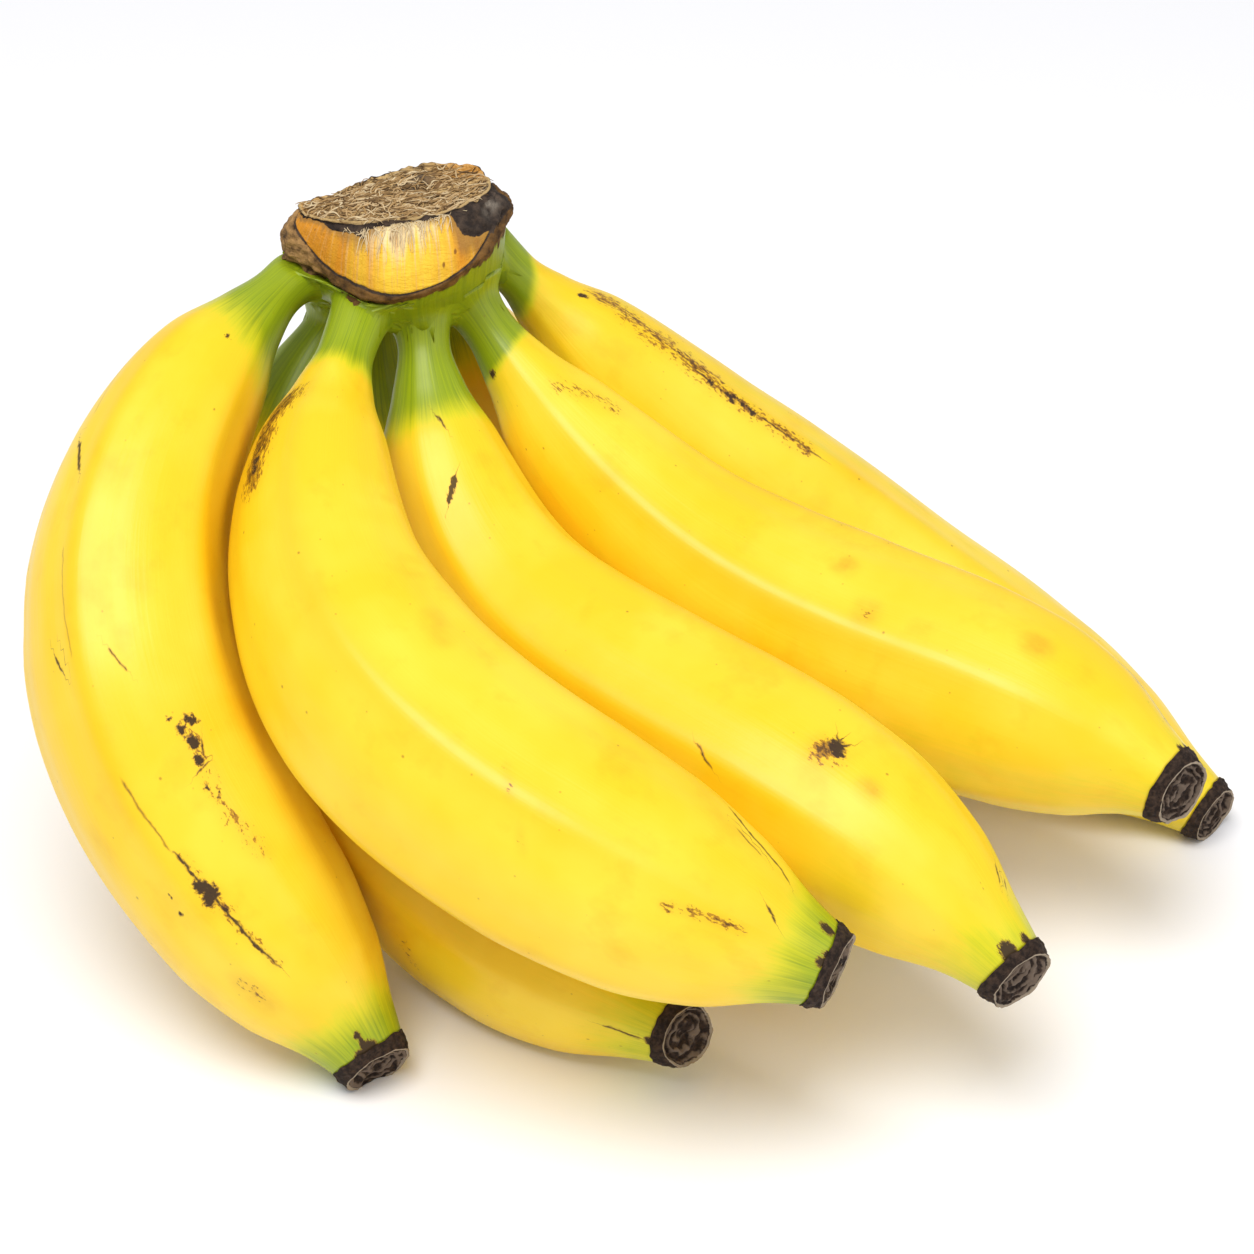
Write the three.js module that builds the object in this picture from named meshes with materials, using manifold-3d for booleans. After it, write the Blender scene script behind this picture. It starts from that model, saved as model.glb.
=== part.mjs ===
// A bunch of bananas lying on its lower fingers, with the cut crown up at the left and the tips at the front.
// Millimetres, +Z up. -Y is the side the bunch is looked at from, and the floor is z = 0.
import * as THREE from 'three';
import { mergeVertices } from 'three/addons/utils/BufferGeometryUtils.js';
import Module from 'manifold-3d';

// Driving dimensions
const GAP = 0.3; // between two pieces that touch
const SIDES = 20; // round a finger, four to each of its five ridges
const RINGS = 22; // along a finger
const RIDGE = 0.03; // how far a ridge stands out, in parts of the radius
const FLOWER_END_LENGTH = 4.5;
const FLOWER_END_SIDES = 10;
const MIDDLE = new THREE.Vector3(5.8, -0.08, 0); // of the bunch seen from above, moved to the origin

// Thickness along a finger, as [part of the length from the crown, part of the full radius]
const GIRTH = [
  [0, 0.27],
  [0.05, 0.25],
  [0.1, 0.36],
  [0.16, 0.58],
  [0.23, 0.72],
  [0.32, 0.83],
  [0.43, 0.95],
  [0.55, 1],
  [0.67, 1],
  [0.78, 0.93],
  [0.87, 0.74],
  [0.94, 0.46],
  [1, 0.28],
];

// Each finger's centre line runs from its root in the crown to the middle of its flower end.
// It sets out towards "leave" and comes in from "arrive". The radius is the thickest one. A belly over 1
// puts the thickest stretch nearer the tip. The roll turns the five ridges round the centre line, in degrees.
const FINGERS = [
  {
    root: [-58.6, 34, 107.5],
    leave: [-129, -51, 81],
    arrive: [-60, -60, 24],
    tip: [-44, -82, 4],
    radius: 19.7,
    belly: 1.06,
    roll: 28,
  },
  {
    root: [-49, 24, 103.5],
    leave: [-75, -61, 70],
    arrive: [-18, -85, 63],
    tip: [37, -97, 41],
    radius: 21,
    belly: 1.11,
    roll: 8,
  },
  {
    root: [-39, 27, 102],
    leave: [-35, -22, 28],
    arrive: [21, -42, 68],
    tip: [69, -91, 33],
    radius: 19.4,
    belly: 0.97,
    roll: -25,
  },
  {
    root: [-34, 36, 104],
    leave: [19, -6, 29],
    arrive: [53, -10, 55],
    tip: [102, -48, 41],
    radius: 19.9,
    belly: 1.15,
    roll: 8,
  },
  {
    root: [-27, 46, 103],
    leave: [29, 45, 38],
    arrive: [67, 22, 27],
    tip: [117, -9, 5],
    radius: 18.6,
    belly: 0.95,
    roll: 6,
  },
  {
    root: [-50, 39, 99],
    leave: [-96, 21, 56],
    arrive: [-52, -37, 11],
    tip: [12, -82, 13],
    radius: 18.3,
    belly: 1.05,
    roll: 0,
  },
  {
    root: [-49, 48, 96],
    leave: [-56, 52, 22],
    arrive: [-11, -2, 14],
    tip: [53, -46, 18],
    radius: 18.2,
    belly: 1,
    roll: 0,
  },
  {
    root: [-36, 50, 94],
    leave: [-29, 105, 12],
    arrive: [0, 95, 7],
    tip: [62, 56, 28],
    radius: 18.5,
    belly: 1,
    roll: 0,
  },
];

// Level outlines of the crown from its underside to its torn top: the height of the middle, the middle in
// x and y, the half widths in x and y, how far the outline climbs to its right, at both ends and to its back,
// how far its front left corner is drawn back, and how far its back is skewed.
const CROWN_SIDES = 28;
const CROWN_LEVELS = [
  { z: 91, x: -46, y: 42, wide: 9, deep: 7, right: 0, ends: 0, back: 0, corner: 0, skew: 0 },
  { z: 95, x: -46, y: 41, wide: 16, deep: 13, right: 0, ends: 0, back: 0, corner: 1, skew: 0 },
  { z: 100.5, x: -44.5, y: 39, wide: 20, deep: 16.5, right: 1, ends: 0.5, back: 0, corner: 3, skew: 0 },
  { z: 105.5, x: -44, y: 36, wide: 20.8, deep: 19.3, right: 2, ends: 2, back: 0, corner: 6, skew: 0 },
  { z: 108.3, x: -43.5, y: 34, wide: 20.8, deep: 19.2, right: 3, ends: 4.5, back: 0, corner: 6, skew: 0 },
  { z: 109.3, x: -43.5, y: 33.5, wide: 21.8, deep: 20, right: 3, ends: 5, back: 0, corner: 6, skew: 0 },
  { z: 111.3, x: -43.5, y: 33.5, wide: 21.3, deep: 19, right: 3, ends: 5, back: -2.5, corner: 5, skew: 0 },
  { z: 117, x: -43.5, y: 33, wide: 19.5, deep: 14.5, right: 3, ends: 2, back: -2.5, corner: 2, skew: 1.5 },
  { z: 120.8, x: -43.5, y: 33, wide: 18, deep: 10, right: 2, ends: 0, back: 0, corner: 0, skew: 3 },
];

const wasm = await Module();
wasm.setup();

// A closed geometry as a solid for cutting and joining
function solidOf(geometry) {
  const bare = new THREE.BufferGeometry();
  bare.setIndex(geometry.index);
  bare.setAttribute('position', geometry.attributes.position);
  const merged = mergeVertices(bare, 1e-4);
  return new wasm.Manifold(
    new wasm.Mesh({
      numProp: 3,
      vertProperties: new Float32Array(merged.attributes.position.array),
      triVerts: new Uint32Array(merged.index.array),
    }),
  );
}

// A solid back as a geometry
function geometryOf(solid) {
  const mesh = solid.getMesh();
  const geometry = new THREE.BufferGeometry();
  geometry.setAttribute('position', new THREE.BufferAttribute(mesh.vertProperties.slice(), 3));
  geometry.setIndex(new THREE.BufferAttribute(mesh.triVerts.slice(), 1));
  geometry.computeVertexNormals();
  return geometry;
}

// The value at one place between the stations of a list, with no overshoot: each station's slope is the
// harmonic mean of its two neighbouring slopes, or level where they differ in sign.
function smoothly(stations, place) {
  const slope = (i) => (stations[i + 1][1] - stations[i][1]) / (stations[i + 1][0] - stations[i][0]);
  const last = stations.length - 1;
  const through = (i) => {
    if (i === 0) return slope(0);
    if (i === last) return slope(last - 1);
    const before = slope(i - 1);
    const after = slope(i);
    return before * after > 0 ? (2 * before * after) / (before + after) : 0;
  };
  let i = 0;
  while (i < last - 1 && place > stations[i + 1][0]) i += 1;
  const width = stations[i + 1][0] - stations[i][0];
  const t = (place - stations[i][0]) / width;
  const [low, high] = [stations[i][1], stations[i + 1][1]];
  const curveUp = (1 + 2 * t) * (1 - t) ** 2 * low + t * t * (3 - 2 * t) * high;
  return curveUp + width * t * (1 - t) * ((1 - t) * through(i) - t * through(i + 1));
}

function centreLine({ root, leave, arrive, tip }) {
  const points = [root, leave, arrive, tip].map((p) => new THREE.Vector3(...p).sub(MIDDLE));
  return new THREE.CubicBezierCurve3(...points);
}

// A cylinder bent along part of a centre line. Its radius at each place and turn comes from a function.
// Turn 0 is the outer side of the bend.
function sweep(line, from, to, sides, rings, radiusAt) {
  const { v0, v1, v2, v3 } = line;
  const outward = v1.clone().add(v2).sub(v0).sub(v3);
  const geometry = new THREE.CylinderGeometry(1, 1, 1, sides, rings);
  const position = geometry.attributes.position;
  for (let i = 0; i < position.count; i += 1) {
    const place = from + (to - from) * (0.5 - position.getY(i));
    const across = Math.hypot(position.getX(i), position.getZ(i));
    const turn = Math.atan2(position.getZ(i), position.getX(i));
    const ahead = line.getTangentAt(place);
    const out = outward.clone().addScaledVector(ahead, -outward.dot(ahead)).normalize();
    const side = new THREE.Vector3().crossVectors(ahead, out);
    const radius = across * radiusAt(place, turn);
    const point = line.getPointAt(place);
    point.addScaledVector(out, radius * Math.cos(turn)).addScaledVector(side, radius * Math.sin(turn));
    position.setXYZ(i, point.x, point.y, point.z);
  }
  return geometry;
}

function fingerGeometry(finger, grow) {
  const line = centreLine(finger);
  const end = 1 - (FLOWER_END_LENGTH + GAP) / line.getLength();
  const roll = THREE.MathUtils.degToRad(finger.roll);
  const radiusAt = (place, turn) => {
    const ridge = 1 + RIDGE * Math.sin(Math.PI * place) * Math.cos(5 * (turn - roll));
    return finger.radius * smoothly(GIRTH, place ** finger.belly) * ridge + grow;
  };
  return sweep(line, 0, end, SIDES, RINGS, radiusAt);
}

// The dried flower remains: a short stub with a ridged collar, wider than the finger's end
function flowerEndGeometry(finger) {
  const line = centreLine(finger);
  const start = 1 - FLOWER_END_LENGTH / line.getLength();
  const radiusAt = (place) => {
    const part = (place - start) / (1 - start);
    return finger.radius * GIRTH.at(-1)[1] * (1 + 0.12 * Math.sin(Math.PI * part));
  };
  return sweep(line, start, 1, FLOWER_END_SIDES, 3, radiusAt);
}

// The crown: a cylinder whose rings follow the level outlines
function crownGeometry(grow) {
  const rings = CROWN_LEVELS.length - 1;
  const geometry = new THREE.CylinderGeometry(1, 1, rings, CROWN_SIDES, rings);
  const position = geometry.attributes.position;
  for (let i = 0; i < position.count; i += 1) {
    const level = CROWN_LEVELS[Math.round(position.getY(i) + rings / 2)];
    const east = position.getX(i);
    const north = -position.getZ(i);
    const up = Math.sign(position.getY(i)) * (Math.abs(position.getY(i)) === rings / 2 ? grow : 0);
    const drawnBack = east < 0 && north < 0 ? 4 * level.corner * (east * north) ** 2 : 0;
    const skewed = north > 0 ? 2 * level.skew * east * north : 0;
    position.setXYZ(
      i,
      level.x + (level.wide + grow) * east - MIDDLE.x,
      level.y + (level.deep + grow) * north + drawnBack + skewed - MIDDLE.y,
      level.z + level.right * east + level.ends * east * east + level.back * north + up,
    );
  }
  return geometry;
}

// Everything below the floor, which the lowest fingers are pressed flat against
function groundSolid() {
  const ground = new THREE.BoxGeometry(400, 400, 100);
  ground.translate(0, 0, -50);
  return solidOf(ground);
}

function named(name, solid, color, roughness) {
  const mesh = new THREE.Mesh(
    geometryOf(solid),
    new THREE.MeshStandardMaterial({ color, roughness, metalness: 0 }),
  );
  mesh.name = name;
  return mesh;
}

const bunch = new THREE.Group();
bunch.add(named('crown', solidOf(crownGeometry(0)), '#8a6a3c', 0.85));

const crownRoom = solidOf(crownGeometry(GAP));
const ground = groundSolid();
FINGERS.forEach((finger, i) => {
  const body = solidOf(fingerGeometry(finger, 0)).subtract(crownRoom).subtract(ground);
  bunch.add(named(`finger_${i + 1}`, body, '#f7d31e', 0.42));
  const flowerEnd = solidOf(flowerEndGeometry(finger)).subtract(ground);
  bunch.add(named(`flower_end_${i + 1}`, flowerEnd, '#3a2c24', 0.9));
});

export default bunch;
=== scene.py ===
import math
import bpy
import numpy as np
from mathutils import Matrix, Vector


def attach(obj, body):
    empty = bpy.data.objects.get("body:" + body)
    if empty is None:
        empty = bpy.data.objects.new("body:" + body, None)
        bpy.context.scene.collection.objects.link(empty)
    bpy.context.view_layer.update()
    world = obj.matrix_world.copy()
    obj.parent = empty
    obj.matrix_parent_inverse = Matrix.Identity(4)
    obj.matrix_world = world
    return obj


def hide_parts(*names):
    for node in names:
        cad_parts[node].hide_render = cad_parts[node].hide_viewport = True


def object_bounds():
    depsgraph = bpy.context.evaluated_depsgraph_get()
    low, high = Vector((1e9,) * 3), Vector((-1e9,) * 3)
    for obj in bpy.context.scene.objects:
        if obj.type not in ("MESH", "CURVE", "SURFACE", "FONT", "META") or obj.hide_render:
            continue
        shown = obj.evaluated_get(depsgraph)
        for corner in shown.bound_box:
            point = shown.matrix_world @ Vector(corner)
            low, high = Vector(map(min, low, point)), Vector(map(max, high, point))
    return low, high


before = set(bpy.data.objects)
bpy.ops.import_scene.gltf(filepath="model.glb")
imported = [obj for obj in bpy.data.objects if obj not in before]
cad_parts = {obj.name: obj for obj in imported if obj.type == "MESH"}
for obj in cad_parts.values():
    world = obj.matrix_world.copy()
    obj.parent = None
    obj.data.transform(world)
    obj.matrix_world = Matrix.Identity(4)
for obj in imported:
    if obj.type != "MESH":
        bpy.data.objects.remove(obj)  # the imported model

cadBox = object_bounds()
print("frame loaded:", len(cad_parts), "nodes")

# A bunch of bananas. Shapes are worked out in millimetres and go into the meshes in metres.
middle = np.array([5.8, -0.08, 0.0])  # of the bunch seen from above, moved to the origin
toMetres = 0.001


# Small helpers

def linearColour(hexText):
    # sRGB to linear: c / 12.92 up to 0.04045, above it ((c + 0.055) / 1.055) to the power 2.4
    channels = [int(hexText[i:i + 2], 16) / 255 for i in (1, 3, 5)]
    return tuple(c / 12.92 if c <= 0.04045 else ((c + 0.055) / 1.055) ** 2.4 for c in channels) + (1.0,)


def stepBetween(low, high, value):
    # 0 below low, 1 above high and 3t^2 - 2t^3 between them
    t = np.clip((value - low) / (high - low), 0, 1)
    return t * t * (3 - 2 * t)


def smoothly(stations, place):
    # a curve through [place, value] stations with no overshoot: cubic Hermite spans, each station's slope
    # being the harmonic mean of its two neighbouring slopes, or level where they differ in sign
    at, value = np.array(stations, float).T
    step = np.diff(value) / np.diff(at)
    product = step[:-1] * step[1:]
    inner = np.where(product > 0, 2 * product / np.where(product > 0, step[:-1] + step[1:], 1), 0)
    slope = np.concatenate([step[:1], inner, step[-1:]])
    i = np.clip(np.searchsorted(at, place, side="right") - 1, 0, len(at) - 2)
    width = at[i + 1] - at[i]
    t = (place - at[i]) / width
    level = (1 + 2 * t) * (1 - t) ** 2 * value[i] + t * t * (3 - 2 * t) * value[i + 1]
    return level + width * t * (1 - t) * ((1 - t) * slope[i] - t * slope[i + 1])


noiseTable = np.random.default_rng(11).uniform(-1, 1, 4096)


def softNoise(points, size, shift=0):
    # noise from -1 to 1: random values at the corners of cubes of this size, blended by 3t^2 - 2t^3
    p = np.asarray(points, float) / size + 17.3 * shift
    cell = np.floor(p).astype(np.int64)
    t = p - cell
    t = t * t * (3 - 2 * t)
    total = 0
    for corner in range(8):
        bit = np.array([corner & 1, corner >> 1 & 1, corner >> 2])
        c = cell + bit
        key = (c[..., 0] * 73856093 ^ c[..., 1] * 19349663 ^ c[..., 2] * 83492791) & 4095
        total = total + noiseTable[key] * np.prod(np.where(bit, t, 1 - t), axis=-1)
    return total


def surfaceNormals(grid):
    # unit cross product of the way to the next column and the way to the next row
    alongColumns = np.roll(grid, -1, axis=1) - np.roll(grid, 1, axis=1)
    alongRows = np.gradient(grid, axis=0)
    normal = np.cross(alongColumns, alongRows)
    return normal / np.maximum(np.linalg.norm(normal, axis=-1, keepdims=True), 1e-9)


def gridFaces(rows, columns):
    # quads of a grid closed round its columns, and a fan at each end to a pole; the two poles are the
    # vertices after the grid
    i, j = np.meshgrid(np.arange(rows - 1), np.arange(columns), indexing="ij")
    k = (j + 1) % columns
    quads = np.stack([i * columns + j, i * columns + k, (i + 1) * columns + k, (i + 1) * columns + j], -1)
    j = np.arange(columns)
    k = (j + 1) % columns
    first, last = rows * columns, rows * columns + 1
    start = np.stack([np.full(columns, first), k, j], -1)
    end = np.stack([np.full(columns, last), (rows - 1) * columns + j, (rows - 1) * columns + k], -1)
    return quads.reshape(-1, 4), np.concatenate([start, end])


def withPoles(grid):
    # the grid's vertices and the middle of its first and of its last row
    flat = grid.reshape(-1, grid.shape[-1])
    return np.concatenate([flat, grid[:1].mean(axis=1), grid[-1:].mean(axis=1)])


def makePiece(name, points, quads, triangles, material, attributes):
    # points in millimetres before the middle is taken off, attributes with one value or vector each
    metres = (points - middle) * toMetres
    low, high = np.array(cadBox[0]), np.array(cadBox[1])
    metres = np.clip(metres, low, high)
    mesh = bpy.data.meshes.new(name)
    mesh.vertices.add(len(metres))
    mesh.vertices.foreach_set("co", metres.astype(np.float32).ravel())
    loops = np.concatenate([quads.ravel(), triangles.ravel()]).astype(np.int32)
    sizes = np.concatenate([np.full(len(quads), 4), np.full(len(triangles), 3)])
    starts = np.concatenate([[0], np.cumsum(sizes)[:-1]]).astype(np.int32)
    mesh.loops.add(len(loops))
    mesh.loops.foreach_set("vertex_index", loops)
    mesh.polygons.add(len(sizes))
    mesh.polygons.foreach_set("loop_start", starts)
    mesh.polygons.foreach_set("use_smooth", np.ones(len(sizes), bool))
    for key, values in attributes.items():
        values = np.asarray(values, np.float32)
        kind = "FLOAT_VECTOR" if values.ndim == 2 else "FLOAT"
        field = mesh.attributes.new(key, kind, "POINT")
        field.data.foreach_set("vector" if values.ndim == 2 else "value", values.ravel())
    mesh.update(calc_edges=True)
    mesh.validate()
    mesh.materials.append(material)
    piece = bpy.data.objects.new(name, mesh)
    bpy.context.scene.collection.objects.link(piece)
    return piece


def addNode(tree, kind, settings=None, links=None):
    # one shader node: a setting is a property by name, or an input by name or number; links join
    # outputs of other nodes to its inputs
    node = tree.nodes.new("ShaderNode" + kind)
    for key, value in (settings or {}).items():
        if key == "stops":
            ramp = node.color_ramp
            while len(ramp.elements) < len(value):
                ramp.elements.new(0.5)
            for element, (position, colour) in zip(ramp.elements, value):
                element.position = position
                element.color = linearColour(colour)
        elif isinstance(key, str) and hasattr(node, key):
            setattr(node, key, value)
        else:
            node.inputs[key].default_value = value
    for key, socket in (links or {}).items():
        tree.links.new(socket, node.inputs[key])
    return node


def newMaterial(name, shaderSettings):
    material = bpy.data.materials.new(name)
    material.use_nodes = True
    tree = material.node_tree
    tree.nodes.clear()
    shader = addNode(tree, "BsdfPrincipled", shaderSettings)
    addNode(tree, "OutputMaterial", links={"Surface": shader.outputs[0]})
    return material, tree, shader


# Materials

# Banana peel, grown: a thin waxy skin over fibres. Even satin sheen, deep yellow, green where it is less ripe
# (the necks and round the flower ends), with fine lengthwise threads, brown flecks and dry scars.
peelLook = {
    "yellow": "#f7cd1c",
    "paleYellow": "#fbd838",
    "deepYellow": "#e8b00c",
    "green": "#98aa14",
    "limeGreen": "#d6cf1e",
    "threadGreen": "#5f7a1c",
    "scar": "#2c1d12",
    "scarEdge": "#8a5a14",
    "scuff": "#9c6614",
    "darkScuff": "#4c2f10",
    "stain": "#dfa31c",
    "fleck": "#8c5a18",
    "roughness": 0.36,
    "patchSize": 26.0,  # of paler and deeper areas, mm
    "threadWidth": 0.9,  # of the lengthwise threads, mm; drawn coarser than real so that they show
    "poreSize": 0.7,
    "fleckSpacing": 5.0,
    "freckleSpacing": 2.6,
}


def peelMaterial():
    look = peelLook
    material, tree, shader = newMaterial("bananaPeelWaxy", {"IOR": 1.45, "Specular IOR Level": 0.45})
    # skin is the place on the straightened finger in mm; the masks below are worked out with the meshes
    skin = addNode(tree, "Attribute", {"attribute_name": "skin"}).outputs["Vector"]
    green = addNode(tree, "Attribute", {"attribute_name": "green"}).outputs["Fac"]
    ridge = addNode(tree, "Attribute", {"attribute_name": "ridge"}).outputs["Fac"]
    scar = addNode(tree, "Attribute", {"attribute_name": "scar"}).outputs["Fac"]
    scuff = addNode(tree, "Attribute", {"attribute_name": "scuff"}).outputs["Fac"]
    stain = addNode(tree, "Attribute", {"attribute_name": "stain"}).outputs["Fac"]
    across = addNode(tree, "Attribute", {"attribute_name": "across"}).outputs["Fac"]
    stroke = addNode(tree, "Attribute", {"attribute_name": "stroke"}).outputs["Fac"]

    # broad paler and deeper patches
    patches = addNode(tree, "TexNoise", {"Scale": 1 / look["patchSize"], "Detail": 3.0}, {"Vector": skin})
    pale = addNode(tree, "MapRange", {1: 0.42, 2: 0.68}, {0: patches.outputs["Fac"]})
    colour = addNode(tree, "Mix", {"data_type": "RGBA", 6: linearColour(look["yellow"]),
                                   7: linearColour(look["paleYellow"])}, {0: pale.outputs[0]})
    deep = addNode(tree, "TexNoise", {"Scale": 2.2 / look["patchSize"], "Detail": 4.0, "Roughness": 0.6},
                   {"Vector": skin})
    deepMask = addNode(tree, "MapRange", {1: 0.55, 2: 0.8, 4: 0.5}, {0: deep.outputs["Fac"]})
    colour = addNode(tree, "Mix", {"data_type": "RGBA", 7: linearColour(look["deepYellow"])},
                     {0: deepMask.outputs[0], 6: colour.outputs[2]})
    # the ridges are a little deeper in colour
    ridgeMask = addNode(tree, "Math", {"operation": "MULTIPLY", 1: 0.35}, {0: ridge})
    colour = addNode(tree, "Mix", {"data_type": "RGBA", 7: linearColour(look["deepYellow"])},
                     {0: ridgeMask.outputs[0], 6: colour.outputs[2]})

    # lengthwise threads: noise squeezed round the finger and drawn out along it
    threadSpace = addNode(tree, "Mapping",
                          {"Scale": (1 / look["threadWidth"], 1 / look["threadWidth"], 0.045)},
                          {"Vector": skin})
    threads = addNode(tree, "TexNoise", {"Scale": 1.0, "Detail": 3.0, "Roughness": 0.6},
                      {"Vector": threadSpace.outputs[0]})
    threadMask = addNode(tree, "MapRange", {1: 0.42, 2: 0.7}, {0: threads.outputs["Fac"]})

    # green at the necks and ends, broken up by the threads
    wander = addNode(tree, "TexNoise", {"Scale": 0.11, "Detail": 3.0}, {"Vector": skin})
    wanderShift = addNode(tree, "Math", {"operation": "MULTIPLY_ADD", 1: 0.5, 2: -0.25},
                          {0: wander.outputs["Fac"]})
    threadShift = addNode(tree, "Math", {"operation": "MULTIPLY_ADD", 1: 0.3, 2: -0.15},
                          {0: threads.outputs["Fac"]})
    shifted = addNode(tree, "Math", {"operation": "ADD"}, {0: green, 1: wanderShift.outputs[0]})
    shifted = addNode(tree, "Math", {"operation": "ADD"}, {0: shifted.outputs[0], 1: threadShift.outputs[0]})
    limeMask = addNode(tree, "MapRange", {"interpolation_type": "SMOOTHSTEP", 1: -0.15, 2: 0.5},
                       {0: shifted.outputs[0]})
    greenMask = addNode(tree, "MapRange", {"interpolation_type": "SMOOTHSTEP", 1: 0.25, 2: 1.0},
                        {0: shifted.outputs[0]})
    colour = addNode(tree, "Mix", {"data_type": "RGBA", 7: linearColour(look["limeGreen"])},
                     {0: limeMask.outputs[0], 6: colour.outputs[2]})
    colour = addNode(tree, "Mix", {"data_type": "RGBA", 7: linearColour(look["green"])},
                     {0: greenMask.outputs[0], 6: colour.outputs[2]})
    threadGreen = addNode(tree, "Math", {"operation": "MULTIPLY"},
                          {0: threadMask.outputs[0], 1: greenMask.outputs[0]})
    threadGreen = addNode(tree, "Math", {"operation": "MULTIPLY", 1: 0.55}, {0: threadGreen.outputs[0]})
    colour = addNode(tree, "Mix", {"data_type": "RGBA", 7: linearColour(look["threadGreen"])},
                     {0: threadGreen.outputs[0], 6: colour.outputs[2]})

    # small brown flecks and fainter, closer freckles, each in some cells of a cell pattern only
    for spacing, size, share, strength in ((look["fleckSpacing"], 0.075, 0.72, 0.6),
                                           (look["freckleSpacing"], 0.1, 0.84, 0.4)):
        cells = addNode(tree, "TexVoronoi", {"Scale": 1 / spacing, "Randomness": 1.0}, {"Vector": skin})
        dot = addNode(tree, "MapRange", {1: size, 2: 0.4 * size, 4: strength}, {0: cells.outputs["Distance"]})
        cellPick = addNode(tree, "SeparateColor", links={0: cells.outputs["Color"]})
        picked = addNode(tree, "Math", {"operation": "GREATER_THAN", 1: share}, {0: cellPick.outputs[0]})
        dotMask = addNode(tree, "Math", {"operation": "MULTIPLY"}, {0: dot.outputs[0], 1: picked.outputs[0]})
        colour = addNode(tree, "Mix", {"data_type": "RGBA", 7: linearColour(look["fleck"])},
                         {0: dotMask.outputs[0], 6: colour.outputs[2]})

    # scuffs: an ochre tint under broken brown flecking, which is nearly black where it is densest
    gritSpace = addNode(tree, "Mapping", {"Scale": (1.7, 1.7, 0.9)}, {"Vector": skin})
    grit = addNode(tree, "TexNoise", {"Scale": 1.0, "Detail": 4.0, "Roughness": 0.6},
                   {"Vector": gritSpace.outputs[0]})
    broad = addNode(tree, "TexNoise", {"Scale": 0.35, "Detail": 3.0}, {"Vector": skin})
    tint = addNode(tree, "Math", {"operation": "MULTIPLY", 1: 0.5}, {0: scuff})
    tint = addNode(tree, "Math", {"operation": "MAXIMUM"}, {0: tint.outputs[0], 1: stain})
    tintMask = addNode(tree, "Math", {"operation": "MULTIPLY"}, {0: tint.outputs[0], 1: broad.outputs["Fac"]})
    tintMask = addNode(tree, "Math", {"operation": "MULTIPLY", 1: 1.3, "use_clamp": True},
                       {0: tintMask.outputs[0]})
    colour = addNode(tree, "Mix", {"data_type": "RGBA", 7: linearColour(look["stain"])},
                     {0: tintMask.outputs[0], 6: colour.outputs[2]})
    gritBoth = addNode(tree, "Math", {"operation": "MULTIPLY_ADD", 1: 0.45}, {0: broad.outputs["Fac"],
                                                                           2: grit.outputs["Fac"]})
    scuffSum = addNode(tree, "Math", {"operation": "MULTIPLY_ADD", 1: 0.3},
                       {0: scuff, 2: gritBoth.outputs[0]})
    inScuff = addNode(tree, "MapRange", {1: 0.05, 2: 0.3}, {0: scuff})
    for low, high, name in ((0.94, 1.02, "scuff"), (1.07, 1.12, "darkScuff")):
        mask = addNode(tree, "MapRange", {"interpolation_type": "SMOOTHSTEP", 1: low, 2: high, 4: 0.85},
                       {0: scuffSum.outputs[0]})
        mask = addNode(tree, "Math", {"operation": "MULTIPLY"}, {0: mask.outputs[0], 1: inScuff.outputs[0]})
        colour = addNode(tree, "Mix", {"data_type": "RGBA", 7: linearColour(look[name])},
                         {0: mask.outputs[0], 6: colour.outputs[2]})

    # dry scars: nearly black, with a ragged brown edge
    ragged = addNode(tree, "TexNoise", {"Scale": 1.5, "Detail": 4.0, "Roughness": 0.65}, {"Vector": skin})
    scarSum = addNode(tree, "Math", {"operation": "MULTIPLY_ADD", 1: 1.7, 2: -0.85},
                      {0: ragged.outputs["Fac"]})
    scarSum = addNode(tree, "Math", {"operation": "ADD"}, {0: scarSum.outputs[0], 1: scar})
    edgeMask = addNode(tree, "MapRange", {"interpolation_type": "SMOOTHSTEP", 1: -0.1, 2: 0.25, 4: 0.8},
                       {0: scarSum.outputs[0]})
    scabMask = addNode(tree, "MapRange", {"interpolation_type": "SMOOTHSTEP", 1: 0.12, 2: 0.4, 4: 0.92},
                       {0: scarSum.outputs[0]})
    # scratches: where the distance across, wandering a little, is under an uneven part of the stroke's
    # half width
    wobble = addNode(tree, "Math", {"operation": "MULTIPLY_ADD", 1: 1.1, 2: -0.55}, {0: broad.outputs["Fac"]})
    wandering = addNode(tree, "Math", {"operation": "ADD"}, {0: across, 1: wobble.outputs[0]})
    distance = addNode(tree, "Math", {"operation": "ABSOLUTE"}, {0: wandering.outputs[0]})
    uneven = addNode(tree, "Math", {"operation": "MULTIPLY_ADD", 1: 2.2, 2: -0.55}, {0: grit.outputs["Fac"]})
    halfWidth = addNode(tree, "Math", {"operation": "MULTIPLY"}, {0: uneven.outputs[0], 1: stroke})
    into = addNode(tree, "Math", {"operation": "SUBTRACT"}, {0: halfWidth.outputs[0], 1: distance.outputs[0]})
    lineMask = addNode(tree, "MapRange", {"interpolation_type": "SMOOTHSTEP", 1: -0.05, 2: 0.12, 4: 0.85},
                       {0: into.outputs[0]})
    lineEdge = addNode(tree, "MapRange", {"interpolation_type": "SMOOTHSTEP", 1: -0.3, 2: 0.0, 4: 0.6},
                       {0: into.outputs[0]})
    onStroke = addNode(tree, "MapRange", {1: 0.02, 2: 0.08}, {0: stroke})
    lineMask = addNode(tree, "Math", {"operation": "MULTIPLY"},
                       {0: lineMask.outputs[0], 1: onStroke.outputs[0]})
    lineEdge = addNode(tree, "Math", {"operation": "MULTIPLY"},
                       {0: lineEdge.outputs[0], 1: onStroke.outputs[0]})
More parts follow.
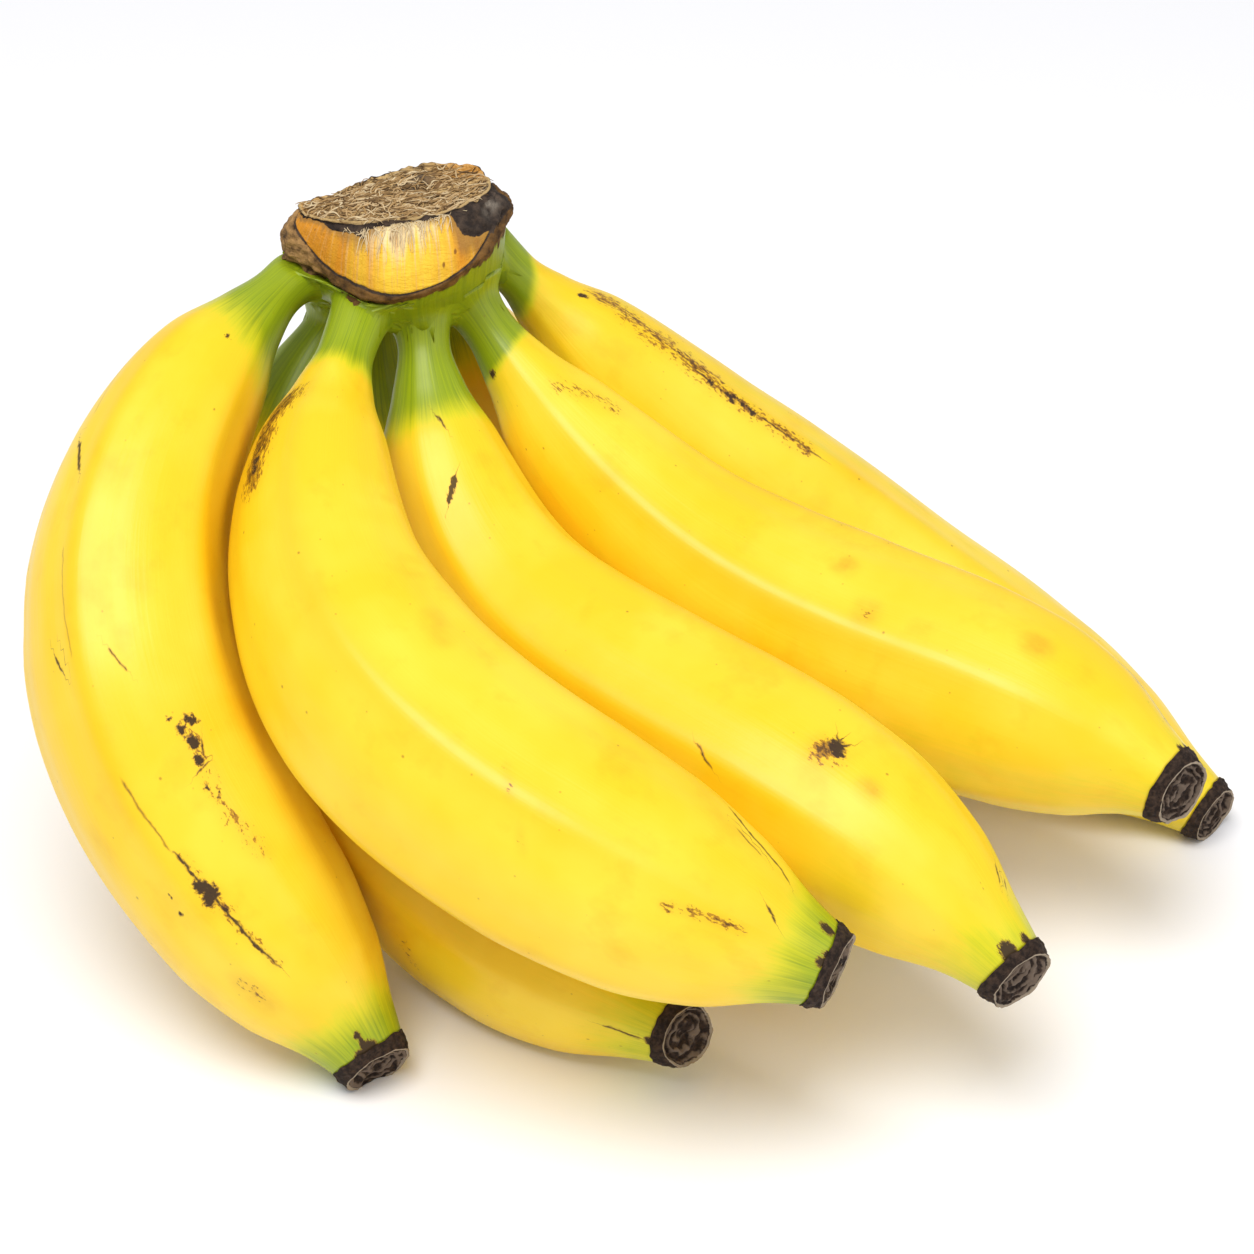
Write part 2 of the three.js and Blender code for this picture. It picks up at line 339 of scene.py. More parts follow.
    edgeMask = addNode(tree, "Math", {"operation": "MAXIMUM"},
                       {0: edgeMask.outputs[0], 1: lineEdge.outputs[0]})
    scarMask = addNode(tree, "Math", {"operation": "MAXIMUM"},
                       {0: scabMask.outputs[0], 1: lineMask.outputs[0]})
    colour = addNode(tree, "Mix", {"data_type": "RGBA", 7: linearColour(look["scarEdge"])},
                     {0: edgeMask.outputs[0], 6: colour.outputs[2]})
    colour = addNode(tree, "Mix", {"data_type": "RGBA", 7: linearColour(look["scar"])},
                     {0: scarMask.outputs[0], 6: colour.outputs[2]})
    tree.links.new(colour.outputs[2], shader.inputs["Base Color"])

    # satin: slightly uneven, dull on scars
    sheen = addNode(tree, "MapRange", {3: look["roughness"] - 0.05, 4: look["roughness"] + 0.08},
                    {0: deep.outputs["Fac"]})
    rough = addNode(tree, "Mix", {"data_type": "FLOAT", 3: 0.75},
                    {0: scarMask.outputs[0], 2: sheen.outputs[0]})
    tree.links.new(rough.outputs[0], shader.inputs["Roughness"])

    pores = addNode(tree, "TexNoise", {"Scale": 1 / look["poreSize"], "Detail": 2.0}, {"Vector": skin})
    height = addNode(tree, "Math", {"operation": "MULTIPLY_ADD", 1: 0.25}, {0: pores.outputs["Fac"],
                                                                         2: threads.outputs["Fac"]})
    height = addNode(tree, "Math", {"operation": "MULTIPLY_ADD", 1: 1.5}, {0: scarMask.outputs[0],
                                                                        2: height.outputs[0]})
    bump = addNode(tree, "Bump", {"Strength": 0.25, "Distance": 0.00018}, {"Height": height.outputs[0]})
    tree.links.new(bump.outputs[0], shader.inputs["Normal"])
    return material


# Cut banana crown, dried: golden, still moist flesh where the knife went, corky skin round it, charcoal-dark
# edges that shrank as they dried, and matt straw-coloured fibres torn out of the top.
crownLook = {
    "straw": "#cfae76",
    "darkStraw": "#4a3622",
    "scorched": "#4b4038",
    "cork": "#7d5a2e",
    "paleCork": "#b98f5a",
    "darkCork": "#3f2a14",
    "flesh": "#f5cb3a",
    "orangeFlesh": "#dd9220",
    "paleFlesh": "#efe0b4",
    # band below the dark edge: a brown smudge and painted shade under the lip
    "stain": "#9a7136",
    "speck": "#7a461a",
    "char": "#29221f",
    "brownChar": "#54453a",
    "ash": "#a59a8c",
    "green": "#8c9f12",
    "threadGreen": "#5f7a1c",
    "grain": 0.7,  # width of a fibre bundle in the cut, mm
    "corkGrain": 2.6,  # of the mottling on the corky skin, mm
}


def crownMaterial():
    look = crownLook
    material, tree, shader = newMaterial("cutCrownDried", {"IOR": 1.45, "Specular IOR Level": 0.35})
    skin = addNode(tree, "Attribute", {"attribute_name": "skin"}).outputs["Vector"]
    place = addNode(tree, "TexCoord").outputs["Object"]
    flesh, char, green, top, gold, pale, lip, scorch, stain, ash = [
        addNode(tree, "Attribute", {"attribute_name": name}).outputs["Fac"]
        for name in ("flesh", "char", "green", "top", "gold", "pale", "lip", "scorch", "stain", "ash")]

    # corky skin, paler at the left end
    mottle = addNode(tree, "TexNoise", {"Scale": 1000 / look["corkGrain"], "Detail": 5.0, "Roughness": 0.65},
                     {"Vector": place})
    mottleMask = addNode(tree, "MapRange", {1: 0.35, 2: 0.65}, {0: mottle.outputs["Fac"]})
    corkColour = addNode(tree, "Mix", {"data_type": "RGBA", 6: linearColour(look["cork"]),
                                       7: linearColour(look["paleCork"])}, {0: pale})
    colour = addNode(tree, "Mix", {"data_type": "RGBA", 6: linearColour(look["darkCork"])},
                     {0: mottleMask.outputs[0], 7: corkColour.outputs[2]})
    # torn top: long matted fibres with dark furrows between them
    fibreSpace = addNode(tree, "Mapping", {"Scale": (260.0, 1100.0, 1100.0), "Rotation": (0, 0, 0.35)},
                         {"Vector": place})
    fibres = addNode(tree, "TexNoise", {"Scale": 1.0, "Detail": 4.0, "Roughness": 0.65, "Distortion": 1.6},
                     {"Vector": fibreSpace.outputs[0]})
    fibreMask = addNode(tree, "MapRange", {1: 0.4, 2: 0.58}, {0: fibres.outputs["Fac"]})
    topColour = addNode(tree, "Mix", {"data_type": "RGBA", 6: linearColour(look["darkStraw"]),
                                      7: linearColour(look["straw"])}, {0: fibreMask.outputs[0]})
    scorchShift = addNode(tree, "Math", {"operation": "MULTIPLY_ADD", 1: 1.2, 2: -0.6},
                          {0: mottle.outputs["Fac"]})
    scorchSum = addNode(tree, "Math", {"operation": "ADD"}, {0: scorch, 1: scorchShift.outputs[0]})
    scorchMask = addNode(tree, "MapRange", {"interpolation_type": "SMOOTHSTEP", 1: 0.35, 2: 0.65, 4: 0.8},
                         {0: scorchSum.outputs[0]})
    topColour = addNode(tree, "Mix", {"data_type": "RGBA", 7: linearColour(look["scorched"])},
                        {0: scorchMask.outputs[0], 6: topColour.outputs[2]})
    goldTop = addNode(tree, "Math", {"operation": "MULTIPLY", 1: 0.5}, {0: gold})
    topColour = addNode(tree, "Mix", {"data_type": "RGBA", 7: linearColour(look["orangeFlesh"])},
                        {0: goldTop.outputs[0], 6: topColour.outputs[2]})
    colour = addNode(tree, "Mix", {"data_type": "RGBA"},
                     {0: top, 6: colour.outputs[2], 7: topColour.outputs[2]})
    # green cushion under the rim, threaded like the necks
    greenShift = addNode(tree, "Math", {"operation": "MULTIPLY_ADD", 1: 0.5, 2: -0.25},
                         {0: mottle.outputs["Fac"]})
    greenSum = addNode(tree, "Math", {"operation": "ADD"}, {0: green, 1: greenShift.outputs[0]})
    greenMask = addNode(tree, "MapRange", {"interpolation_type": "SMOOTHSTEP", 1: 0.35, 2: 0.65},
                        {0: greenSum.outputs[0]})
    threadSpace = addNode(tree, "Mapping", {"Scale": (1.1, 1.1, 0.12)}, {"Vector": skin})
    threads = addNode(tree, "TexNoise", {"Scale": 1.0, "Detail": 3.0, "Roughness": 0.6},
                      {"Vector": threadSpace.outputs[0]})
    threadMask = addNode(tree, "MapRange", {1: 0.42, 2: 0.7, 4: 0.55}, {0: threads.outputs["Fac"]})
    greenColour = addNode(tree, "Mix", {"data_type": "RGBA", 6: linearColour(look["green"]),
                                        7: linearColour(look["threadGreen"])}, {0: threadMask.outputs[0]})
    colour = addNode(tree, "Mix", {"data_type": "RGBA"},
                     {0: greenMask.outputs[0], 6: colour.outputs[2], 7: greenColour.outputs[2]})
    # cut flesh: orange, golden and cream areas, with its bundles running from the rim to the lip
    grainSpace = addNode(tree, "Mapping", {"Scale": (1 / look["grain"], 1 / look["grain"], 0.05)},
                         {"Vector": skin})
    grain = addNode(tree, "TexNoise", {"Scale": 1.0, "Detail": 3.0, "Roughness": 0.6},
                    {"Vector": grainSpace.outputs[0]})
    broadSpace = addNode(tree, "Mapping", {"Scale": (0.4, 0.4, 0.05)}, {"Vector": skin})
    broad = addNode(tree, "TexNoise", {"Scale": 1.0, "Detail": 3.0, "Roughness": 0.6},
                    {"Vector": broadSpace.outputs[0]})
    orange = addNode(tree, "Math", {"operation": "ADD"}, {0: broad.outputs["Fac"], 1: gold})
    orangeMask = addNode(tree, "MapRange", {1: 0.6, 2: 1.15}, {0: orange.outputs[0]})
    fleshColour = addNode(tree, "Mix", {"data_type": "RGBA", 6: linearColour(look["flesh"]),
                                        7: linearColour(look["orangeFlesh"])}, {0: orangeMask.outputs[0]})
    paleGrain = addNode(tree, "MapRange", {1: 0.4, 2: 0.62, 3: -0.35, 4: 0.35}, {0: grain.outputs["Fac"]})
    paleSum = addNode(tree, "Math", {"operation": "ADD"}, {0: paleGrain.outputs[0], 1: pale})
    paleMask = addNode(tree, "MapRange", {"interpolation_type": "SMOOTHSTEP", 1: 0.1, 2: 0.9, 4: 0.9},
                       {0: paleSum.outputs[0]})
    fleshColour = addNode(tree, "Mix", {"data_type": "RGBA", 7: linearColour(look["paleFlesh"])},
                          {0: paleMask.outputs[0], 6: fleshColour.outputs[2]})
    grainMask = addNode(tree, "MapRange", {1: 0.52, 2: 0.7, 4: 0.5}, {0: grain.outputs["Fac"]})
    fleshColour = addNode(tree, "Mix", {"data_type": "RGBA", 7: linearColour(look["orangeFlesh"])},
                          {0: grainMask.outputs[0], 6: fleshColour.outputs[2]})
    # a brown band fading down from the dark edge: partly a brown smudge, partly painted shade under the
    # overhanging lip
    stainAndShadeShift = addNode(tree, "Math", {"operation": "MULTIPLY_ADD", 1: 1.6, 2: -0.8},
                         {0: broad.outputs["Fac"]})
    stainAndShadeSum = addNode(tree, "Math", {"operation": "ADD"}, {0: stain, 1: stainAndShadeShift.outputs[0]})
    stainAndShadeMask = addNode(tree, "MapRange", {"interpolation_type": "SMOOTHSTEP", 1: 0.2, 2: 0.9, 4: 0.8},
                        {0: stainAndShadeSum.outputs[0]})
    fleshColour = addNode(tree, "Mix", {"data_type": "RGBA", 7: linearColour(look["stain"])},
                          {0: stainAndShadeMask.outputs[0], 6: fleshColour.outputs[2]})
    speckSpace = addNode(tree, "Mapping", {"Scale": (0.5, 0.5, 0.3)}, {"Vector": skin})
    cells = addNode(tree, "TexVoronoi", {"Scale": 1.0}, {"Vector": speckSpace.outputs[0]})
    speckDot = addNode(tree, "MapRange", {1: 0.2, 2: 0.1, 4: 0.85}, {0: cells.outputs["Distance"]})
    cellPick = addNode(tree, "SeparateColor", links={0: cells.outputs["Color"]})
    picked = addNode(tree, "Math", {"operation": "GREATER_THAN", 1: 0.72}, {0: cellPick.outputs[0]})
    speckMask = addNode(tree, "Math", {"operation": "MULTIPLY"},
                        {0: speckDot.outputs[0], 1: picked.outputs[0]})
    fleshColour = addNode(tree, "Mix", {"data_type": "RGBA", 7: linearColour(look["speck"])},
                          {0: speckMask.outputs[0], 6: fleshColour.outputs[2]})
    fleshShift = addNode(tree, "Math", {"operation": "MULTIPLY_ADD", 1: 0.6, 2: -0.3},
                         {0: mottle.outputs["Fac"]})
    fleshSum = addNode(tree, "Math", {"operation": "ADD"}, {0: flesh, 1: fleshShift.outputs[0]})
    fleshMask = addNode(tree, "MapRange", {"interpolation_type": "SMOOTHSTEP", 1: 0.4, 2: 0.6},
                        {0: fleshSum.outputs[0]})
    colour = addNode(tree, "Mix", {"data_type": "RGBA"},
                     {0: fleshMask.outputs[0], 6: colour.outputs[2], 7: fleshColour.outputs[2]})
    # charcoal-dark dried edges, streaked down along the bundles
    charNoise = addNode(tree, "TexNoise", {"Scale": 450.0, "Detail": 4.0, "Roughness": 0.6},
                        {"Vector": place})
    charBoth = addNode(tree, "Math", {"operation": "ADD"},
                       {0: charNoise.outputs["Fac"], 1: grain.outputs["Fac"]})
    charShift = addNode(tree, "Math", {"operation": "MULTIPLY_ADD", 1: 0.8, 2: -0.8},
                        {0: charBoth.outputs[0]})
    charSum = addNode(tree, "Math", {"operation": "ADD"}, {0: char, 1: charShift.outputs[0]})
    charMask = addNode(tree, "MapRange", {"interpolation_type": "SMOOTHSTEP", 1: 0.3, 2: 0.7, 4: 0.95},
                       {0: charSum.outputs[0]})
    sootMask = addNode(tree, "MapRange", {1: 0.45, 2: 0.7}, {0: charNoise.outputs["Fac"]})
    charColour = addNode(tree, "Mix", {"data_type": "RGBA", 6: linearColour(look["char"]),
                                       7: linearColour(look["brownChar"])}, {0: sootMask.outputs[0]})
    ashMask = addNode(tree, "Math", {"operation": "MULTIPLY"}, {0: ash, 1: mottleMask.outputs[0]})
    charColour = addNode(tree, "Mix", {"data_type": "RGBA", 7: linearColour(look["ash"])},
                         {0: ashMask.outputs[0], 6: charColour.outputs[2]})
    colour = addNode(tree, "Mix", {"data_type": "RGBA"},
                     {0: charMask.outputs[0], 6: colour.outputs[2], 7: charColour.outputs[2]})
    lipMask = addNode(tree, "MapRange", {1: 0.4, 2: 0.8, 4: 0.8}, {0: lip})
    colour = addNode(tree, "Mix", {"data_type": "RGBA", 7: linearColour(look["straw"])},
                     {0: lipMask.outputs[0], 6: colour.outputs[2]})
    tree.links.new(colour.outputs[2], shader.inputs["Base Color"])
    # dull all over, but satin on the moist flesh and on the green skin
    fleshOnly = addNode(tree, "Math", {"operation": "MULTIPLY", 1: 0.8}, {0: fleshMask.outputs[0]})
    satin = addNode(tree, "Math", {"operation": "MAXIMUM"},
                    {0: fleshOnly.outputs[0], 1: greenMask.outputs[0]})
    notDark = addNode(tree, "Math", {"operation": "SUBTRACT", "use_clamp": True},
                      {0: satin.outputs[0], 1: charMask.outputs[0]})
    rough = addNode(tree, "MapRange", {3: 0.88, 4: 0.42}, {0: notDark.outputs[0]})
    tree.links.new(rough.outputs[0], shader.inputs["Roughness"])
    coarse = addNode(tree, "Math", {"operation": "ADD"}, {0: fibres.outputs["Fac"], 1: mottle.outputs["Fac"]})
    fine = addNode(tree, "Math", {"operation": "SUBTRACT", 0: 1.15}, {1: greenMask.outputs[0]})
    coarse = addNode(tree, "Math", {"operation": "MULTIPLY"}, {0: coarse.outputs[0], 1: fine.outputs[0]})
    height = addNode(tree, "Math", {"operation": "MULTIPLY_ADD", 1: 0.5}, {0: grain.outputs["Fac"],
                                                                        2: coarse.outputs[0]})
    bump = addNode(tree, "Bump", {"Strength": 0.6, "Distance": 0.0005}, {"Height": height.outputs[0]})
    tree.links.new(bump.outputs[0], shader.inputs["Normal"])
    return material


# Loose banana fibres, dried: pale straw to brown threads, matt, each of one tone
fibreLook = {
    "pale": "#dcc7a0",
    "straw": "#b08d5c",
    "brown": "#5b4329",
}


def fibreMaterial():
    look = fibreLook
    material, tree, shader = newMaterial("looseFibresDried", {"IOR": 1.45, "Roughness": 0.8,
                                                              "Specular IOR Level": 0.25})
    tone = addNode(tree, "Attribute", {"attribute_name": "tone"}).outputs["Fac"]
    place = addNode(tree, "TexCoord").outputs["Object"]
    patch = addNode(tree, "TexNoise", {"Scale": 900.0, "Detail": 2.0}, {"Vector": place})
    mixed = addNode(tree, "Math", {"operation": "MULTIPLY_ADD", 1: 0.4}, {0: patch.outputs["Fac"], 2: tone})
    ramp = addNode(tree, "ValToRGB",
                   {"stops": [(0.2, look["brown"]), (0.65, look["straw"]), (1.1, look["pale"])]},
                   {0: mixed.outputs[0]})
    tree.links.new(ramp.outputs[0], shader.inputs["Base Color"])
    return material


# Dried flower remains: papery tissue gone brown-black and matt, grey-brown on its ridges, with a thin
# pale rim
endLook = {
    "dark": "#241a15",
    "brown": "#4b3a2e",
    "crest": "#7d6c5d",
    "rim": "#b3a28c",
    "grain": 0.5,  # mm
}


def flowerEndMaterial():
    look = endLook
    material, tree, shader = newMaterial("driedFlowerEnd", {"IOR": 1.4, "Roughness": 0.85,
                                                            "Specular IOR Level": 0.3})
    place = addNode(tree, "TexCoord").outputs["Object"]
    crest = addNode(tree, "Attribute", {"attribute_name": "crest"}).outputs["Fac"]
    rim = addNode(tree, "Attribute", {"attribute_name": "rim"}).outputs["Fac"]
    grain = addNode(tree, "TexNoise", {"Scale": 1000 / look["grain"] / 2, "Detail": 5.0, "Roughness": 0.65},
                    {"Vector": place})
    brownMask = addNode(tree, "MapRange", {1: 0.42, 2: 0.7}, {0: grain.outputs["Fac"]})
    colour = addNode(tree, "Mix", {"data_type": "RGBA", 6: linearColour(look["dark"]),
                                   7: linearColour(look["brown"])}, {0: brownMask.outputs[0]})
    for value, low, high, strength, name in ((crest, 0.75, 1.25, 0.8, "crest"),
                                             (rim, 0.85, 1.2, 0.75, "rim")):
        shifted = addNode(tree, "Math", {"operation": "ADD"}, {0: value, 1: grain.outputs["Fac"]})
        mask = addNode(tree, "MapRange", {"interpolation_type": "SMOOTHSTEP", 1: low, 2: high, 4: strength},
                       {0: shifted.outputs[0]})
        colour = addNode(tree, "Mix", {"data_type": "RGBA", 7: linearColour(look[name])},
                         {0: mask.outputs[0], 6: colour.outputs[2]})
    tree.links.new(colour.outputs[2], shader.inputs["Base Color"])
    bump = addNode(tree, "Bump", {"Strength": 0.7, "Distance": 0.0004}, {"Height": grain.outputs["Fac"]})
    tree.links.new(bump.outputs[0], shader.inputs["Normal"])
    return material


peel = peelMaterial()
cutCrown = crownMaterial()
driedFibre = fibreMaterial()
driedEnd = flowerEndMaterial()
print("materials made")


# The fingers

# thickness along a finger, as [part of the length from the crown, part of the full radius]
girth = [[0, 0.27], [0.05, 0.25], [0.1, 0.36], [0.16, 0.58], [0.23, 0.72], [0.32, 0.83], [0.43, 0.95],
         [0.55, 1], [0.67, 1], [0.78, 0.93], [0.87, 0.74], [0.94, 0.46], [1, 0.28]]

fingerLook = {
    "rings": 240,
    "sides": 160,
    "hiddenRings": 120,
    "hiddenSides": 80,
    "ridge": 0.03,  # how far a ridge stands out, in parts of the radius
    "crest": 0.012,  # and the narrow crest on it
    "lump": 0.35,  # slow unevenness, mm
    "flowerEnd": 4.5,  # length, mm
    "gap": 0.3,
    "greenStart": 26.0,  # how far from the crown's middle the green begins to fade, mm
    "greenEnd": 50.0,  # and where it has gone
    "greenTip": 9.0,  # of the green round the flower end, mm
}

# Each finger's centre line is a cubic Bezier curve from its root in the crown to the middle of its flower
# end. greenNeck and greenTip say how green each one's ends are.
fingers = [
    {"root": [-58.6, 34, 107.5], "leave": [-129, -51, 81], "arrive": [-60, -60, 24], "tip": [-44, -82, 4],
     "radius": 19.7, "belly": 1.06, "roll": 28, "greenNeck": 1.0, "greenTip": 1.0},
    {"root": [-49, 24, 103.5], "leave": [-75, -61, 70], "arrive": [-18, -85, 63], "tip": [37, -97, 41],
     "radius": 21, "belly": 1.11, "roll": 8, "greenNeck": 0.78, "greenTip": 0.9},
    {"root": [-39, 27, 102], "leave": [-35, -22, 28], "arrive": [21, -42, 68], "tip": [69, -91, 33],
     "radius": 19.4, "belly": 0.97, "roll": -25, "greenNeck": 0.86, "greenTip": 0.5},
    {"root": [-34, 36, 104], "leave": [19, -6, 29], "arrive": [53, -10, 55], "tip": [102, -48, 41],
     "radius": 19.9, "belly": 1.15, "roll": 8, "greenNeck": 0.62, "greenTip": 0.15},
    {"root": [-27, 46, 103], "leave": [29, 45, 38], "arrive": [67, 22, 27], "tip": [117, -9, 5],
     "radius": 18.6, "belly": 0.95, "roll": 6, "greenNeck": 0.62, "greenTip": 0.15},
    {"root": [-50, 39, 99], "leave": [-96, 21, 56], "arrive": [-52, -37, 11], "tip": [12, -82, 13],
     "radius": 18.3, "belly": 1.05, "roll": 0, "greenNeck": 1.0, "greenTip": 0.5},
    {"root": [-49, 48, 96], "leave": [-56, 52, 22], "arrive": [-11, -2, 14], "tip": [53, -46, 18],
     "radius": 18.2, "belly": 1, "roll": 0, "greenNeck": 1.0, "greenTip": 0.5},
    {"root": [-36, 50, 94], "leave": [-29, 105, 12], "arrive": [0, 95, 7], "tip": [62, 56, 28],
     "radius": 18.5, "belly": 1, "roll": 0, "greenNeck": 1.0, "greenTip": 0.5},
]


def centreLine(finger, place):
    # Bezier points (1-t)^3 a + 3(1-t)^2 t b + 3(1-t) t^2 c + t^3 d at equal parts of the curve's length,
    # with the unit way ahead, the way out of the bend and the side, and the length
    a, b, c, d = (np.array(finger[key], float) for key in ("root", "leave", "arrive", "tip"))
    t = np.linspace(0, 1, 2001)[:, None]
    curve = (1 - t) ** 3 * a + 3 * (1 - t) ** 2 * t * b + 3 * (1 - t) * t ** 2 * c + t ** 3 * d
    run = np.concatenate([[0], np.cumsum(np.linalg.norm(np.diff(curve, axis=0), axis=1))])
    t = np.interp(place * run[-1], run, t[:, 0])[:, None]
    point = (1 - t) ** 3 * a + 3 * (1 - t) ** 2 * t * b + 3 * (1 - t) * t ** 2 * c + t ** 3 * d
    ahead = (1 - t) ** 2 * (b - a) + 2 * (1 - t) * t * (c - b) + t ** 2 * (d - c)
    ahead = ahead / np.linalg.norm(ahead, axis=1, keepdims=True)
    bend = b + c - a - d
    out = bend - ahead * (ahead @ bend)[:, None]
    out = out / np.linalg.norm(out, axis=1, keepdims=True)
    return point, ahead, out, np.cross(ahead, out), run[-1]


def fingerRadius(finger, place):
    return finger["radius"] * smoothly(girth, place ** finger["belly"])


# The crown's form, which the necks grow out of

# level outlines from the underside to the torn top: height of the middle, middle in x and y, half widths in
# x and y, how far the outline climbs to its right, at both ends and to its back, how far its front left
# corner is drawn back, and how far its back is skewed
crownLevels = np.array([
    [91, -46, 42, 9, 7, 0, 0, 0, 0, 0],
    [95, -46, 41, 16, 13, 0, 0, 0, 1, 0],
    [100.5, -44.5, 39, 20, 16.5, 1, 0.5, 0, 3, 0],
    [105.5, -44, 36, 20.8, 19.3, 2, 2, 0, 6, 0],
    [108.3, -43.5, 34, 20.8, 19.2, 3, 4.5, 0, 6, 0],
    [109.3, -43.5, 33.5, 21.8, 20, 3, 5, 0, 6, 0],
    [111.3, -43.5, 33.5, 21.3, 19, 3, 5, -2.5, 5, 0],
    [117, -43.5, 33, 19.5, 14.5, 3, 2, -2.5, 2, 1.5],
    [120.8, -43.5, 33, 18, 10, 2, 0, 0, 0, 3],
])
crownCentre = np.array([-45.0, 36.0, 104.0])


def crownOutline(level):
    # every value of the level outlines between the whole levels, along the same smooth curves
    stations = np.arange(len(crownLevels))
    return [smoothly(np.stack([stations, column], -1), level) for column in crownLevels.T]


def crownPlace(z, cx, cy, wide, deep, right, ends, back, corner, skew, east, north):
    # the point of a level outline at east, north (parts of the half widths)
    drawnBack = np.where((east < 0) & (north < 0), 4 * corner * (east * north) ** 2, 0)
    skewed = np.where(north > 0, 2 * skew * east * north, 0)
    height = z + right * east + ends * east ** 2 + back * north
    return np.stack(np.broadcast_arrays(cx + wide * east, cy + deep * north + drawnBack + skewed, height), -1)


def crownDistance(points):
    # signed distance to the crown, near enough: how far the point is outside the level outline at its own
    # height, measured on the level line from the middle, times the cosine of the flank's slope; over the
    # top or under the bottom, the height past it
    stations = np.arange(len(crownLevels))
    z = points[..., 2]
    for _ in range(3):  # the outline climbs, so its height is put right a few times
        level = np.interp(z, crownLevels[:, 0], stations)
        _, cx, cy, wide, deep, right, ends, back, corner, skew = [np.interp(level, stations, column)
                                                                  for column in crownLevels.T]
        east = (points[..., 0] - cx) / wide
        north = (points[..., 1] - cy) / deep
        reach = np.maximum(np.hypot(east, north), 1e-3)
        east, north = east / reach, north / reach
        inward = np.minimum(reach, 1)
        z = points[..., 2] - right * east * inward - ends * (east * inward) ** 2 - back * north * inward
    rim = crownPlace(0, cx, cy, wide, deep, right, ends, back, corner, skew, east, north)
    toRim = np.hypot(rim[..., 0] - cx, rim[..., 1] - cy)
    toPoint = np.hypot(points[..., 0] - cx, points[..., 1] - cy)
    slope = np.interp(z, [91, 93, 98, 103, 106, 122], [1.6, 1.4, 0.9, 0.35, 0.0, 0.0])
    side = (toPoint - toRim) / np.sqrt(1 + slope ** 2)
    over = np.maximum(z - crownLevels[-1, 0], crownLevels[0, 0] - z)
    return np.where(over > 0, np.hypot(np.maximum(side, 0), over), np.maximum(side, over))


def underRim(points):
    # a neck ducks under the crown's rim: near the crown no point is higher than the rim's lower edge, and the
    # limit climbs by 0.8 mm a mm outside it
    level = 3.7
    z, cx, cy, wide, deep, right, ends, back, corner, skew = crownOutline(np.array([level]))
    east = (points[:, 0] - cx) / wide
    north = (points[:, 1] - cy) / deep
    reach = np.maximum(np.hypot(east, north), 1e-3)
    rim = crownPlace(z, cx, cy, wide, deep, right, ends, back, corner, skew, east / reach, north / reach)
    outside = np.hypot(points[:, 0] - cx, points[:, 1] - cy) - np.hypot(rim[:, 0] - cx, rim[:, 1] - cy)
    limit = rim[:, 2] - 0.3 + 0.8 * np.maximum(outside - 0.5, 0) + np.minimum(outside, 0) * 0.3
    least = np.minimum(points[:, 2], limit)
    soft = least - 0.8 * np.log1p(np.exp(-np.abs(points[:, 2] - limit) / 0.8))
    moved = np.where(outside < 12, soft - points[:, 2], 0) * (1 - stepBetween(4, 12, outside))
    return points + np.stack([0 * moved, 0 * moved, moved], -1)


neckSpheres = []  # for each finger, points along its neck and their radii
for finger in fingers:
    along = np.linspace(0.0, 0.3, 40)
    line, _, _, _, _ = centreLine(finger, along)
    neckSpheres.append((line, fingerRadius(finger, along)))


def neckDistances(points, leaveOut):
    # for each finger, the least of (distance to a point of its centre line, less its radius there)
    result = []
    for i, (line, radius) in enumerate(neckSpheres):
        if i == leaveOut:
            continue
        squared = (points ** 2).sum(-1)[:, None] + (line ** 2).sum(-1)[None] - 2 * points @ line.T
        result.append((np.sqrt(np.maximum(squared, 0)) - radius).min(axis=1))
    return np.stack(result, -1)


blendSize = 1.5  # mm; how softly the necks flow into the crown and into each other


def grownTogether(points, outward, own, reach=7.0):
    # Each point moves out until it is on one smooth skin over the crown and all the necks: where
    # -k ln(sum of exp(-distance / k)) over all of them is 0. k falls to nothing away from the crown.
    # own is the finger's number, or None for the crown's own points.
    near = 1 - stepBetween(20, 40, np.linalg.norm(points - crownCentre, axis=1))
    belowRim = 1 - stepBetween(103, 108.5, points[:, 2])
    size = 0.02 + blendSize * near * belowRim
    steps = np.array([0, 0.3, 0.7, 1.2, 1.8, 2.5, 3.4, 4.6, 6.0, reach])
    before = inside = None
    done = np.zeros(len(points))
    found = np.zeros(len(points), bool)
    for i, step in enumerate(steps):
        at = points + outward * step
        distances = neckDistances(at, own)
        if own is not None:
            distances = np.concatenate([distances, crownDistance(at)[:, None]], -1)
        if i == 0:
            inside = distances.min(-1)
        everything = np.concatenate([distances, np.full((len(points), 1), step)], -1)
        least = everything.min(-1)
        value = least - size * np.log(np.exp(-(everything - least[:, None]) / size[:, None]).sum(-1))
        if i > 0:
            crossing = ~found & (value >= 0)
            part = -before / np.maximum(value - before, 1e-6)
            done = np.where(crossing, steps[i - 1] + np.clip(part, 0, 1) * (step - steps[i - 1]), done)
            found |= crossing
        else:
            found = value >= 0
        before = value
    done = np.where(found, done, reach * 0.5)
    # deep inside another body a point stays where it is, out of sight
    weight = stepBetween(-3.5, -1.2, inside)
    return done * weight, inside


